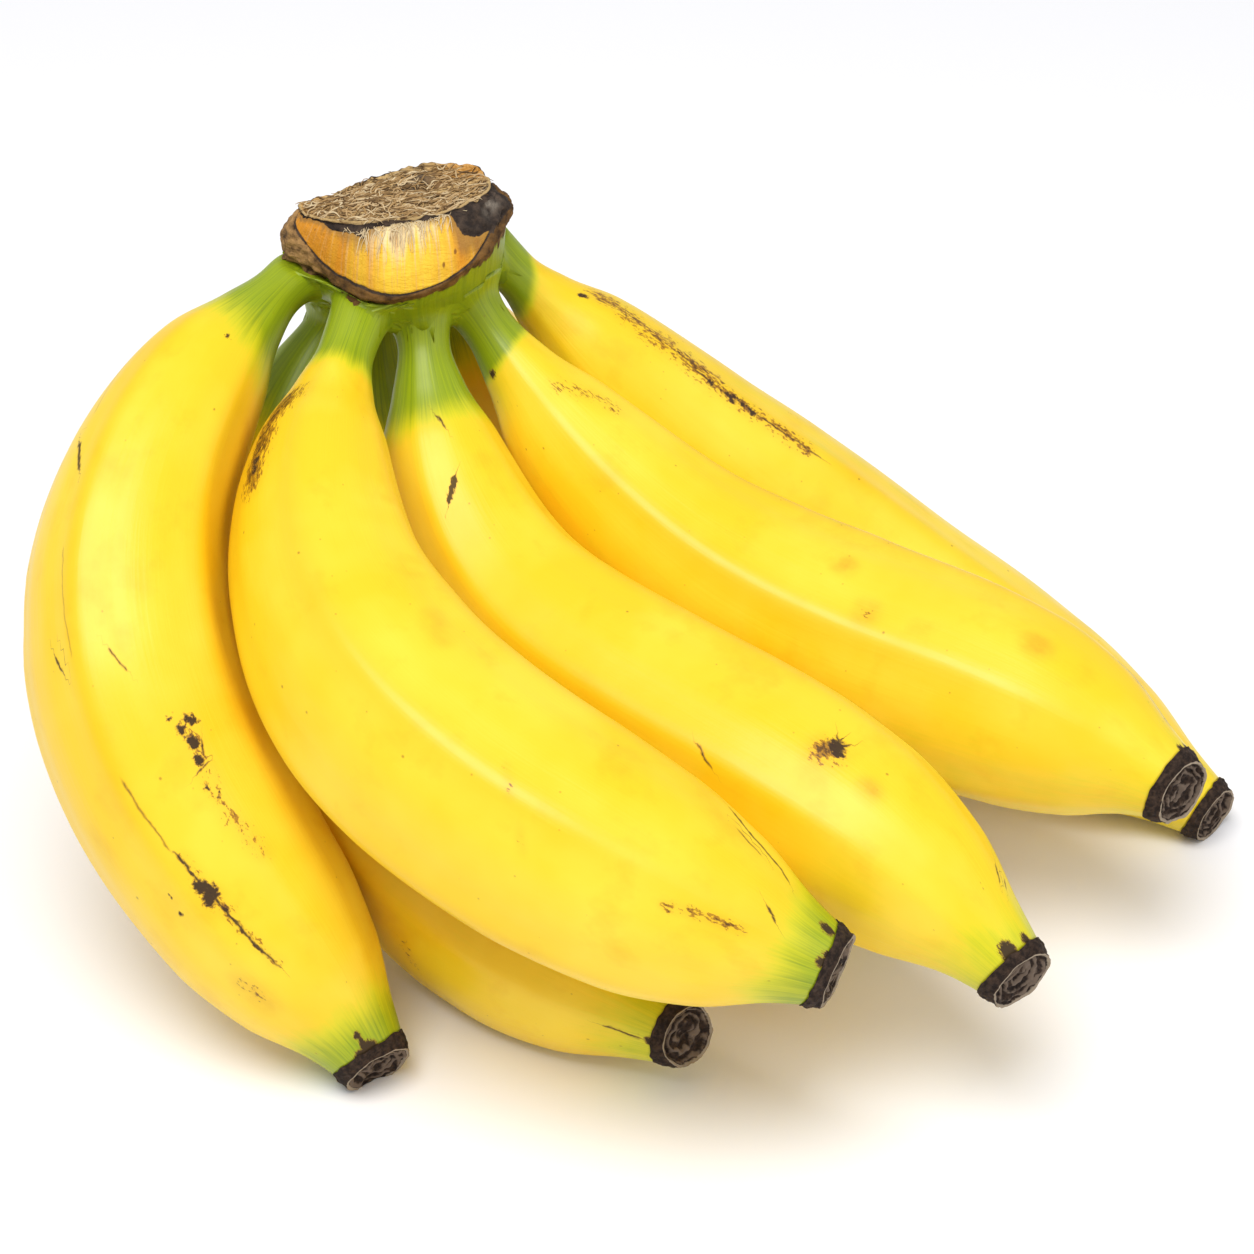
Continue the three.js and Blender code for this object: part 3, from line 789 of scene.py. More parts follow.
def fingerPiece(index):
    finger = fingers[index]
    look = fingerLook
    inSight = index < 6
    rings, sides = (look["rings"], look["sides"]) if inSight else (look["hiddenRings"], look["hiddenSides"])
    length = centreLine(finger, np.array([0.0, 1.0]))[-1]
    end = 1 - (look["flowerEnd"] + look["gap"]) / length
    place = np.linspace(0, end, rings)
    turn = np.linspace(0, 2 * np.pi, sides, endpoint=False)
    line, ahead, out, side, length = centreLine(finger, place)
    radius = fingerRadius(finger, place)
    # five soft ridges: radius times 1 + ridge sin(pi place) (cos 5u + 0.4 cos 10u + 0.15 cos 15u), u from
    # the roll
    u = turn - math.radians(finger["roll"])
    crest = np.cos(5 * u)
    # and a narrow crest of the same turn on each, exp(6 cos 5u - 6)
    broadRibs = look["ridge"] * (crest + 0.4 * np.cos(10 * u) + 0.15 * np.cos(15 * u))
    ribs = np.sin(np.pi * place)[:, None] * (broadRibs + look["crest"] * np.exp(6 * crest - 6))[None]
    spoke = np.cos(turn)[None, :, None] * out[:, None] + np.sin(turn)[None, :, None] * side[:, None]
    grid = line[:, None] + (radius[:, None] * (1 + ribs))[..., None] * spoke
    flat = grid.reshape(-1, 3)
    outward = spoke.reshape(-1, 3)
    swell = softNoise(flat, 26, index) + 0.4 * softNoise(flat, 11, index)
    ease = np.repeat(stepBetween(0.05, 0.3, place) * (1 - 0.6 * stepBetween(0.85, 1, place)), sides)
    flat = flat + outward * (look["lump"] * swell * ease)[:, None]
    # the neck flows into the crown and its neighbours
    neck = np.repeat(place < 0.3, sides)
    shift, _ = grownTogether(flat[neck], outward[neck], index)
    flat[neck] = underRim(flat[neck] + outward[neck] * shift[:, None])
    flat[:, 2] = np.maximum(flat[:, 2], 0.0)

    # values for the material
    along = np.repeat(place * length, sides)
    turns = np.tile(turn, rings)
    full = finger["radius"]
    skin = np.stack([full * np.cos(turns), full * np.sin(turns), along + 300.0 * index], -1)
    fromCrown = np.linalg.norm(flat - crownCentre, axis=1)
    green = 1.15 - 1.35 * stepBetween(look["greenStart"], look["greenEnd"] * finger["greenNeck"], fromCrown)
    toEnd = length * end - along
    greenEnd = finger["greenTip"] * (0.9 - 1.1 * stepBetween(0, 1.8 * look["greenTip"], toEnd))
    green = np.maximum(green, greenEnd)
    ridge = np.tile(np.exp(5 * (crest - 1)), rings) * np.repeat(np.sin(np.pi * place), sides)
    values = {"skin": skin, "green": green, "ridge": ridge, **fingerMarks(index, place, turn, length, radius)}
    values = {k: withPoles(v.reshape(rings, sides, -1)) for k, v in values.items()}
    values = {k: v if v.shape[1] == 3 else v[:, 0] for k, v in values.items()}
    piece = makePiece(f"banana{index + 1}", withPoles(flat.reshape(rings, sides, 3)),
                      *gridFaces(rings, sides), peel, values)
    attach(piece, "root")
    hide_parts(f"finger_{index + 1}")
    return piece


def fingerMarks(index, place, turn, length, radius):
    # Values for the marks' material. scar: how deep a point lies in a scab, 1 in its middle, 0 at its edge
    # and -1 far away. scuff and stain: 0 to 1. across: mm to the middle line of the nearest scratch, with
    # its side as the sign. stroke: that scratch's half width, falling to 0 at both ends.
    shape = (len(place), len(turn))
    scar, scuff, stain = np.full(shape, -1.0), np.zeros(shape), np.zeros(shape)
    across, stroke = np.full(shape, 9.0), np.zeros(shape)
    nearest = np.full(shape, 4.0)
    random = np.random.default_rng(100 + index)
    for kind, path, width, strength in marks.get(index + 1, []):
        path = np.array(path, float)
        spans = list(zip(path[:-1], path[1:])) if len(path) > 1 else [(path[0], path[0])]
        for number, (a, b) in enumerate(spans):
            sideways = radius[:, None] * ((turn[None] - math.radians(a[1]) + np.pi) % (2 * np.pi) - np.pi)
            down = (place[:, None] - a[0]) * length + 0 * sideways
            run = (b[0] - a[0]) * length
            turnedBy = math.radians((b[1] - a[1] + 180) % 360 - 180)
            aside = np.interp((a[0] + b[0]) / 2, place, radius) * turnedBy
            reach = math.hypot(run, aside)
            t = np.clip((down * run + sideways * aside) / max(reach ** 2, 1e-6), 0, 1)
            distance = np.hypot(down - t * run, sideways - t * aside)
            if kind == "scab":
                # several blobs scattered along the span
                for _ in range(int(reach / (0.9 * width)) + 2):
                    at = random.random()
                    off = random.normal(0, 0.35 * width, 2)
                    size = width * random.uniform(0.4, 1.0)
                    far = np.hypot((down - at * run - off[0]) / 1.3, sideways - at * aside - off[1])
                    scar = np.maximum(scar, np.clip(1 - far / size, -1, 1) * strength + (strength - 1))
            elif kind == "line":
                side = np.sign(down * aside - sideways * run)
                whole = (number + t) / len(spans)
                taper = np.clip(4 * np.sin(np.pi * np.clip(whole, 0.02, 0.98)), 0, 1)
                closer = distance < nearest
                nearest = np.where(closer, distance, nearest)
                across = np.where(closer, side * distance, across)
                stroke = np.where(closer, width * taper * (distance < 3), stroke)
            else:
                depth = stepBetween(0, 1, np.clip(1 - distance / width, 0, 1)) * strength
                scuff = np.maximum(scuff, depth) if kind == "scuff" else scuff
                stain = np.maximum(stain, depth) if kind == "stain" else stain
    fields = {"scar": scar, "scuff": scuff, "stain": stain, "across": across, "stroke": stroke}
    return {key: field.ravel() for key, field in fields.items()}


# The photograph's camera, in the coordinates before the middle is taken off
photoEye = {
    "stand": np.array([0.0, -532.4, 417.8]),  # mm
    "aim": np.array([0.0, 0.0, 45.0]),
    "focal": 3380.0,  # pixels, of the 1254 pixel frame
    "centre": 627.0,
}


def photoPixels(points):
    # a pinhole camera: centre + focal times the way right over the depth, and less the way up over the depth
    ahead = photoEye["aim"] - photoEye["stand"]
    ahead = ahead / np.linalg.norm(ahead)
    right = np.array([1.0, 0.0, 0.0])
    offset = points - photoEye["stand"]
    scale = photoEye["focal"] / (offset @ ahead)
    inPicture = np.stack([offset @ right, -offset @ np.cross(right, ahead)], -1)
    return photoEye["centre"] + inPicture * scale[..., None]


def seen(number, *pixels):
    # the [place along, turn round in degrees] on a finger of what the photograph shows at these pixels: the
    # nearest point in the picture of a grid over the side of the finger that faces the camera
    finger = fingers[number - 1]
    place = np.linspace(0, 1, 300)
    degrees = np.arange(360)
    turn = np.radians(degrees)
    line, _, out, side, _ = centreLine(finger, place)
    spoke = np.cos(turn)[None, :, None] * out[:, None] + np.sin(turn)[None, :, None] * side[:, None]
    ribs = np.sin(np.pi * place)[:, None] * np.cos(5 * (turn - math.radians(finger["roll"])))
    radius = fingerRadius(finger, place)[:, None] * (1 + fingerLook["ridge"] * ribs)
    grid = line[:, None] + radius[..., None] * spoke
    hidden = ((photoEye["stand"] - grid) * spoke).sum(-1) <= 0
    picture = photoPixels(grid)
    found = []
    for pixel in pixels:
        distance = np.linalg.norm(picture - np.array(pixel), axis=-1) + 1e9 * hidden
        row, column = np.unravel_index(distance.argmin(), distance.shape)
        found.append([place[row], degrees[column]])
    return found


# for each finger: kind, points, half width in mm, strength. The points are pixels of the photograph, read
# off it, where they stand in seen, or else [place along, turn round in degrees].
marks = {
    1: [
        ("scab", [[0.171, 274]], 0.7, 0.9),
        ("scab", [[0.176, 281]], 0.4, 0.8),
        ("line", [[0.326, 343], [0.355, 329]], 0.55, 1.0),
        ("line", [[0.51, 333], [0.525, 328]], 0.4, 1.0),
        ("scab", [[0.522, 336]], 0.6, 0.8),
        ("line", [[0.22, 357], [0.3, 341]], 0.05, 1.0),
        ("line", [[0.42, 325], [0.52, 319]], 0.06, 1.0),
        ("line", [[0.62, 314], [0.7, 309]], 0.08, 1.0),
        ("scab", [[0.59, 279]], 0.9, 0.85),
        ("scab", [[0.592, 272], [0.6, 269]], 1.0, 0.95),
        ("scab", [[0.596, 276], [0.608, 275]], 1.0, 0.95),
        ("scab", [[0.612, 271], [0.626, 274]], 1.2, 1.0),
        ("scab", [[0.628, 276], [0.642, 273]], 1.1, 0.95),
        ("line", [[0.62, 268], [0.634, 271]], 0.2, 1.0),
        ("line", [[0.642, 270], [0.648, 278]], 0.25, 1.0),
        ("scab", [[0.655, 274], [0.665, 278]], 0.7, 0.85),
        ("scab", [[0.604, 266]], 0.45, 0.85),
        ("scab", [[0.672, 272], [0.68, 275]], 0.5, 0.8),
        ("scuff", [[0.6, 272], [0.7, 274]], 3.8, 0.55),
        ("scab", [[0.666, 283]], 0.35, 0.8),
        ("scuff", [[0.699, 273], [0.746, 269]], 3.4, 0.65),
        ("line", [[0.7, 308], [0.722, 307], [0.746, 305], [0.766, 304], [0.8, 303], [0.845, 301]], 0.42, 1.0),
        ("scab", [[0.736, 305.5], [0.768, 304]], 1.35, 1.0),
        ("scuff", [[0.71, 306], [0.84, 301]], 2.6, 0.7),
        ("scab", [[0.732, 324]], 0.5, 0.8),
        ("scab", [[0.749, 325]], 0.75, 0.95),
        ("scuff", [[0.836, 326], [0.856, 325]], 3.0, 0.7),
        ("stain", [[0.836, 326], [0.87, 325]], 4.0, 0.6),
        ("line", [[0.515, 300], [0.538, 293]], 0.16, 1.0),
        ("scab", [[0.952, 287], [0.96, 286]], 0.7, 1.0),
        ("scab", [[0.964, 283], [0.966, 291]], 1.5, 1.05),
        ("scab", [[0.975, 279], [0.975, 295]], 2.0, 1.1),
    ],
    2: [
        ("scuff", [[0.165, 322], [0.2, 331], [0.26, 333]], 6.5, 1.25),
        ("line", [[0.165, 318], [0.175, 326]], 0.4, 1.0),
        ("line", [[0.182, 323], [0.194, 334]], 0.5, 1.0),
        ("line", [[0.2, 326], [0.212, 338]], 0.45, 1.0),
        ("line", [[0.222, 328], [0.232, 337]], 0.4, 1.0),
        ("scab", [[0.232, 330], [0.25, 333]], 1.3, 0.9),
        ("scab", [[0.2, 335], [0.235, 340]], 0.7, 0.8),
        ("stain", [[0.492, 248], [0.522, 255]], 4.0, 0.5),
        ("scuff", [[0.659, 287], [0.676, 297]], 1.6, 0.55),
        ("scuff", [[0.696, 308], [0.706, 316]], 1.6, 0.55),
        ("line", [[0.84, 227], [0.866, 233], [0.89, 238], [0.906, 239], [0.916, 244]], 0.3, 1.0),
        ("line", [[0.855, 240], [0.885, 245]], 0.14, 1.0),
        ("scuff", [[0.826, 307], [0.856, 304], [0.893, 301]], 1.8, 0.95),
        ("line", [[0.906, 278], [0.918, 284]], 0.35, 1.0),
        ("scab", [[0.972, 300], [0.975, 285]], 1.2, 1.0),
        ("scab", [[0.97, 253]], 1.3, 1.0),
    ],
    3: [
        ("line", [[0.203, 237], [0.232, 250]], 0.85, 1.0),
        ("line", [[0.128, 239], [0.146, 232]], 0.25, 1.0),
        ("line", [[0.64, 260], [0.664, 267]], 0.2, 1.0),
        ("line", [[0.638, 172], [0.665, 175], [0.69, 172]], 0.3, 1.0),
        ("scab", [[0.66, 170]], 0.5, 0.8),
        ("line", [[0.7, 172], [0.75, 169]], 0.16, 1.0),
        ("scuff", [[0.642, 171], [0.74, 171]], 3.2, 0.7),
        ("scab", seen(3, (838, 748)), 1.5, 1.0),
        ("scab", [[0.742, 217], [0.751, 224]], 1.0, 0.95),
        ("scuff", [[0.742, 226]], 5.4, 1.15),
        ("stain", [[0.742, 226]], 6.0, 0.7),
        ("line", [[0.738, 214], [0.746, 220]], 0.35, 1.0),
        ("line", [[0.752, 214], [0.746, 221]], 0.3, 1.0),
        ("stain", seen(3, (870, 790)), 4.0, 0.9),
        ("line", [[0.905, 184], [0.918, 192]], 0.3, 1.0),
        ("line", [[0.918, 180], [0.926, 186]], 0.2, 1.0),
        ("scab", [[0.965, 228], [0.968, 240]], 2.0, 1.1),
        ("scab", [[0.974, 200]], 1.1, 1.0),
    ],
    4: [
        ("scab", seen(4, (494, 376)), 1.0, 0.9),
        ("scuff", seen(4, (560, 385), (590, 395), (620, 410)), 4.0, 0.6),
        ("stain", seen(4, (845, 565)), 4.5, 0.9),
        ("scuff", seen(4, (866, 612)), 3.4, 0.8),
        ("stain", seen(4, (866, 612)), 5.0, 0.8),
        ("stain", seen(4, (1036, 645)), 5.0, 1.0),
        ("line", [[0.876, 150], [0.915, 145], [0.955, 139]], 0.28, 1.0),
        ("scuff", [[0.9, 150], [0.955, 142]], 2.0, 0.5),
        ("scab", [[0.973, 170], [0.973, 150]], 1.2, 1.0),
    ],
    5: [
        ("scab", [[0.098, 143], [0.108, 145]], 0.9, 0.95),
        ("scuff", [[0.12, 130], [0.171, 146], [0.221, 146], [0.27, 150]], 4.8, 1.0),
        ("line", [[0.15, 138], [0.152, 146]], 0.25, 1.0),
        ("scab", [[0.2, 146], [0.235, 149]], 0.5, 0.7),
        ("line", [[0.238, 152], [0.27, 153]], 0.2, 1.0),
        ("scab", [[0.262, 153], [0.33, 154]], 1.0, 0.88),
        ("line", [[0.33, 153], [0.42, 153]], 0.22, 1.0),
        ("scab", [[0.275, 146], [0.285, 145]], 0.5, 0.8),
        ("scuff", [[0.24, 151], [0.4, 153]], 3.2, 0.95),
        ("scab", seen(5, (985, 570)), 0.5, 0.7),
    ],
    6: [
        ("scuff", [[0.722, 306], [0.739, 320]], 2.4, 0.6),
        ("line", [[0.93, 296], [0.965, 300]], 0.3, 1.0),
        ("scab", [[0.97, 303], [0.974, 290]], 1.2, 1.0),
    ],
}

bananas = [fingerPiece(i) for i in range(len(fingers))]
print("bananas made")


# The crown

crownShape = {
    "columns": 350,
    "bottomRows": 12,
    "underRows": 44,
    "rimRows": 30,
    "cutRows": 120,
    "topRows": 70,
    "sunk": 0.3,  # how far its skin stays under the necks' own, mm
    "skinRadius": 21.0,  # of the round form that the texture's places are measured on, mm
    "hollow": (-38, 37, 6, 3.5),  # places on the top in x and y, with their half widths, mm
    "pit": (-36.5, 37.5, 1.8, 1.3),
    "scorch": (-39, 39, 6, 4),
    "rightScorch": (-28, 33, 4, 4),
}

# Across the crown from its left end (-1) to its right end (1): where the cut begins and how far the dark edge
# reaches down from the lip, both in whole level outlines, and how orange the flesh is, from 0 to 1
fleshFloor = [[-1, 7.8], [-0.97, 7.0], [-0.78, 6.1], [-0.6, 5.5], [-0.2, 5.42], [0.2, 5.2], [0.45, 5.12],
              [0.64, 5.15], [0.8, 5.6], [0.9, 6.1], [1, 6.9]]
darkEdge = [[-1, 0.3], [-0.8, 0.25], [-0.7, 0.4], [-0.62, 0.7], [-0.5, 0.6], [-0.36, 0.9], [-0.28, 0.9],
            [-0.2, 0.4], [0, 0.22], [0.28, 0.22], [0.36, 0.5], [0.46, 0.3], [0.56, 0.6], [0.66, 1.5],
            [0.8, 2.0], [1, 2.4]]
orangePart = [[-1, 0.85], [-0.7, 0.75], [-0.45, 0.55], [-0.2, 0.25], [0.1, 0.1], [0.4, 0.2],
              [0.6, 0.45], [1, 0.5]]


def crownGrid():
    # rows of level outlines from the middle of the underside over the rim, the cut and the lip to the
    # middle of the top; run is the level, and over 8 on the top
    shape = crownShape
    level = np.concatenate([
        np.zeros(shape["bottomRows"]),
        np.linspace(0, 3.4, shape["underRows"], endpoint=False),
        np.linspace(3.4, 5.1, shape["rimRows"], endpoint=False),
        np.linspace(5.1, 8, shape["cutRows"], endpoint=False),
        np.full(shape["topRows"], 8.0),
    ])
    spread = np.ones(len(level))
    spread[:shape["bottomRows"]] = np.linspace(0.03, 1, shape["bottomRows"], endpoint=False)
    spread[-shape["topRows"]:] = np.linspace(1, 0.02, shape["topRows"])
    run = level + np.where(level >= 8, (1 - spread) * 4, 0)
    angle = np.linspace(0, 2 * np.pi, shape["columns"], endpoint=False)
    values = [v[:, None] for v in crownOutline(level)]
    east = np.broadcast_to(np.cos(angle)[None], (len(level), len(angle)))
    north = np.broadcast_to(np.sin(angle)[None], east.shape)
    rim = crownPlace(*values, east, north)
    centre = np.stack(np.broadcast_arrays(values[1], values[2], values[0]), -1)
    grid = centre + (rim - centre) * spread[:, None, None]
    return grid, run, spread, angle


def spot(points, x, y, wide, deep):
    # 1 at a place seen from above, falling off round it as exp(-(dx / wide)^2 - (dy / deep)^2)
    return np.exp(-(((points[:, 0] - x) / wide) ** 2 + ((points[:, 1] - y) / deep) ** 2))


def crownPiece():
    shape = crownShape
    grid, run, spread, angle = crownGrid()
    rows, columns = grid.shape[:2]
    normal = surfaceNormals(grid)
    flat = grid.reshape(-1, 3)
    outward = normal.reshape(-1, 3)
    runs = np.repeat(run, columns)
    spreads = np.repeat(spread, columns)
    angles = np.tile(angle, rows)
    east, front = np.cos(angles), -np.sin(angles)
    isTop = runs >= 8

    move = np.zeros(len(flat))
    under = runs < 4.4
    shift, toNeck = grownTogether(flat[under], outward[under], None)
    fade = 1 - stepBetween(3.2, 4.4, runs[under])
    move[under] = shift * fade - shape["sunk"] * (1 - stepBetween(-0.5, 3, toNeck)) * fade

    # rim: a corky bead, uneven round the crown and wrinkled, with a furrow where it meets the cut
    floor = np.where(front > 0, smoothly(fleshFloor, east), 6.3) + 0.06 * softNoise(flat, 2.5, 19)
    bead = stepBetween(3.6, 4.6, runs) * (1 - stepBetween(floor - 0.5, floor - 0.05, runs))
    wrinkles = softNoise(flat * [1, 1, 2.5], 1.8, 4) + 0.5 * softNoise(flat * [1, 1, 2.5], 0.9, 20)
    move += bead * (0.25 + 0.3 * softNoise(flat, 4.5, 3) + 0.28 * wrinkles)
    furrow = np.exp(-((runs - floor) / 0.09) ** 2)
    move -= 0.4 * furrow
    # cut face: a shallow dish with the ends of its bundles as furrows fanning down from the lip
    cut = stepBetween(floor - 0.02, floor + 0.2, runs) * (1 - stepBetween(7.3, 7.9, runs))
    turned = shape["skinRadius"] * np.stack([np.cos(angles), np.sin(angles)], -1)
    fan = np.concatenate([turned, 0.7 * runs[:, None]], -1)
    furrows = softNoise(fan, 1.3, 5) + 0.6 * softNoise(fan, 0.7, 6)
    move += cut * (-0.3 + 0.17 * furrows + 0.3 * softNoise(flat, 6, 7))
    # dark edge: shrunk back under the lip, in ragged flakes
    ragged = 0.45 * softNoise(flat, 2.4, 14) + 0.5 * softNoise(fan, 1.1, 15) + 0.25 * softNoise(fan, 0.55, 21)
    edge = np.where(front > -0.1, smoothly(darkEdge, east), 0.7 + 0.6 * softNoise(flat, 7, 16))
    fromEdge = runs - (8 - edge) + 0.3 * ragged
    onFlank = 1 - stepBetween(8.0, 8.12, runs)
    dark = stepBetween(-0.12, 0.12, fromEdge) * onFlank
    flakes = softNoise(flat * [1, 1, 0.6], 2.8, 8) + 0.6 * softNoise(flat, 1.1, 9)
    move += dark * (-0.5 + 0.6 * flakes)
    # lip: a thin curled edge standing over the dark band
    lip = np.exp(-((runs - 8.04) / 0.12) ** 2)
    move += lip * (0.7 + 0.6 * softNoise(flat, 3.5, 17) + 0.4 * softNoise(flat, 1.2, 18))
    flat = flat + outward * move[:, None]
    # torn top: matted bundles lying mostly left to right, with hollows between; they rise at most 0.1 mm
    # over the form
    bundles = flat * [0.3, 1, 1] + 1.8 * softNoise(flat, 5, 10)[:, None]
    height = 0.9 * softNoise(bundles, 1.7, 11) + 0.45 * softNoise(bundles, 0.8, 12)
    height += 0.7 * softNoise(flat, 6, 13)
    flat[:, 2] += stepBetween(7.7, 8.3, runs) * np.minimum(0.6 * height - 0.65, 0.1)
    pit = spot(flat, *shape["pit"])
    flat[:, 2] -= (0.9 * spot(flat, *shape["hollow"]) + 1.6 * pit) * isTop

    # values for the material
    inCut = stepBetween(-0.05, 0.12, front)
    flesh = stepBetween(floor - 0.03, floor + 0.03, runs) * (1 - dark)
    flesh = flesh * (1 - stepBetween(7.98, 8.0, runs)) * inCut
    char = np.maximum(dark, 0.85 * np.exp(-((runs - floor + 0.02) / 0.07) ** 2) * inCut)
    # a band fading down from the dark edge, deeper at the right: partly a brown smudge, partly painted shade
    # under the overhanging lip
    stainAndShadeDepth = np.interp(east, [-1, -0.7, -0.3, -0.15, 0.35, 0.6, 1], [0.7, 0.9, 0.9, 0.4, 0.6, 1.4, 1.8])
    stain = (1 + np.clip(fromEdge / stainAndShadeDepth, -1, 0)) * onFlank
    green = 1 - stepBetween(3.2, 3.9, runs + 0.35 * ragged)
    topMask = stepBetween(7.95, 8.05, runs)
    gold = smoothly(orangePart, east)
    cornerGold = stepBetween(0.2, 0.8, east * spreads) * stepBetween(0.0, 0.5, -front * spreads)
    gold = np.where(isTop, np.maximum(cornerGold, 0.5 * stepBetween(0.6, 0.95, -east * spreads)), gold)
    pale = np.exp(-((east - 0.12) / 0.4) ** 2) * stepBetween(6.0, 7.4, runs)
    pale = np.where(runs < floor, stepBetween(0.5, 0.85, -east), pale)
    scorch = np.maximum(spot(flat, *shape["scorch"]), 1.3 * pit)
    scorch = np.maximum(scorch, 0.5 * spot(flat, *shape["rightScorch"]))
    ash = np.exp(-((east - 0.93) / 0.05) ** 2 - ((runs - 6.8) / 0.4) ** 2)
    ash = ash * (0.6 + 0.8 * softNoise(flat, 1.2, 22))
    skin = np.concatenate([turned, 4.0 * runs[:, None]], -1)
    lipLine = np.exp(-((runs - 8.03) / 0.06) ** 2) * (front > -0.2)
    values = {"flesh": flesh, "char": char, "green": green, "top": topMask, "gold": gold, "pale": pale,
              "lip": lipLine, "scorch": scorch, "stain": stain, "ash": ash, "skin": skin}
    values = {k: withPoles(v.reshape(rows, columns, -1)) for k, v in values.items()}
    values = {k: v if v.shape[1] == 3 else v[:, 0] for k, v in values.items()}
    piece = makePiece("cutCrown", withPoles(flat.reshape(rows, columns, 3)), *gridFaces(rows, columns),
                      cutCrown, values)
    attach(piece, "root")
    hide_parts("crown")
    return flat[isTop], flat.reshape(rows, columns, 3), run, angle


fibreShape = {
    "count": 760,
    "lipCount": 26,
    "hangCount": 110,
    "points": 12,
    "sides": 5,
    "radius": (0.08, 0.2),  # mm, drawn a little thicker than real threads so that they show
    "hangThinner": 0.55,
    "length": (2.5, 8.0),
    "ceiling": 122.6,  # no thread lies higher, mm
    "seed": 4,
}


def topThreads(random, topPoints):
    # Curly threads lying on the torn top. Each one's middle line is laid round a random place, in short
    # steps whose heading swings as a sine; its height is that of the nearest points of the top, evened out,
    # plus an arch.
    shape = fibreShape
    total = shape["count"] + shape["lipCount"]
    atLip = np.arange(total) >= shape["count"]
    spin = random.uniform(0, 2 * np.pi, total)
    reach = np.sqrt(random.uniform(0, 0.94, total))
    _, cx, cy, wide, deep, *_, skew = crownLevels[-1]
    skewed = 2 * skew * reach ** 2 * np.cos(spin) * np.maximum(np.sin(spin), 0)
    start = np.stack([cx + (wide - 0.5) * reach * np.cos(spin),
                      cy + (deep - 0.4) * reach * np.sin(spin) + skewed], -1)
    lipSpin = random.uniform(-0.92, -0.08, total) * np.pi
    lipStart = np.stack([cx + (wide - 0.2) * np.cos(lipSpin), cy + 0.4 + (deep - 0.2) * np.sin(lipSpin)], -1)
    start = np.where(atLip[:, None], lipStart, start)
    length = random.uniform(*shape["length"], total)
    heading = random.normal(0.25, 0.5, total) + np.where(random.random(total) < 0.5, np.pi, 0)
    part = np.linspace(0, 1, shape["points"])
    waves = random.uniform(0.4, 1.3, total)[:, None] * part + random.random(total)[:, None]
    ways = heading[:, None] + random.uniform(0.2, 1.3, total)[:, None] * np.sin(2 * np.pi * waves)
    step = length[:, None] / shape["points"]
    line = start[:, None] + np.cumsum(np.stack([np.cos(ways), np.sin(ways)], -1) * step[..., None], axis=1)
    line -= line.mean(axis=1, keepdims=True) - start[:, None]
    flatLine = line.reshape(-1, 2)
    few = topPoints[::3]
    nearest = np.concatenate([((chunk[:, None] - few[None, :, :2]) ** 2).sum(-1).argmin(axis=1)
                              for chunk in np.array_split(flatLine, 12)])
    ground = few[nearest]
    past = np.linalg.norm(ground[:, :2] - flatLine, axis=1).reshape(total, -1).max(axis=1)
    ground = ground[:, 2].reshape(total, -1)
    ground = (ground + np.roll(ground, 1, 1) + np.roll(ground, -1, 1)) / 3
    lift = np.where(atLip, random.uniform(0.2, 0.8, total), random.uniform(0.05, 0.35, total))
    arched = ground + np.sin(np.pi * part) * lift[:, None]
    line = np.concatenate([flatLine.reshape(total, -1, 2), arched[..., None]], -1)
    line[..., 2] = np.minimum(line[..., 2], shape["ceiling"])
    tones = np.where(atLip, random.uniform(0.5, 0.9, total), random.uniform(0.0, 0.8, total))
    kept = past < 0.7  # threads that reach past the edge are left out
    return line[kept], tones[kept]


def hangingThreads(random, grid, run, angle):
    # Pale threads fraying from the lip down the cut, most in its middle. Each follows the cut's surface
    # from a random angle at the lip, down by up to 1.1 level outlines, wandering sideways as a sine. It
    # starts 0.12 mm off the surface, and its lower end stands up to 0.5 mm further off.
    shape = fibreShape
    total = shape["hangCount"]
    part = np.linspace(0, 1, shape["points"])
    middle = random.normal(-1.42, 0.26, total)
    top = random.uniform(7.45, 7.8, total)
    drop = random.uniform(0.25, 1.1, total) * np.where(np.abs(middle + 1.42) < 0.45, 1.0, 0.5)
    swing = random.uniform(0.005, 0.03, total)[:, None] * np.sin(
        2 * np.pi * (random.uniform(0.3, 1.2, total)[:, None] * part + random.random(total)[:, None]))
    ways = (middle[:, None] + swing + random.normal(0, 0.02, total)[:, None] * part) % (2 * np.pi)
    levels = top[:, None] - drop[:, None] * part
    column = ways / (2 * np.pi) * len(angle)
    first = np.floor(column).astype(int) % len(angle)
    second = (first + 1) % len(angle)
    ahead = (column - np.floor(column))[..., None]
    row = np.interp(levels, run, np.arange(len(run)))
    above = np.floor(row).astype(int)
    down = (row - above)[..., None]
    line = (grid[above, first] * (1 - ahead) + grid[above, second] * ahead) * (1 - down) + (
        grid[above + 1, first] * (1 - ahead) + grid[above + 1, second] * ahead) * down
    outward = surfaceNormals(grid)[above, first]
    line = line + outward * (0.12 + 0.5 * part * random.uniform(0, 1, total)[:, None] ** 3)[..., None]
    return line, random.uniform(0.65, 1.0, total)


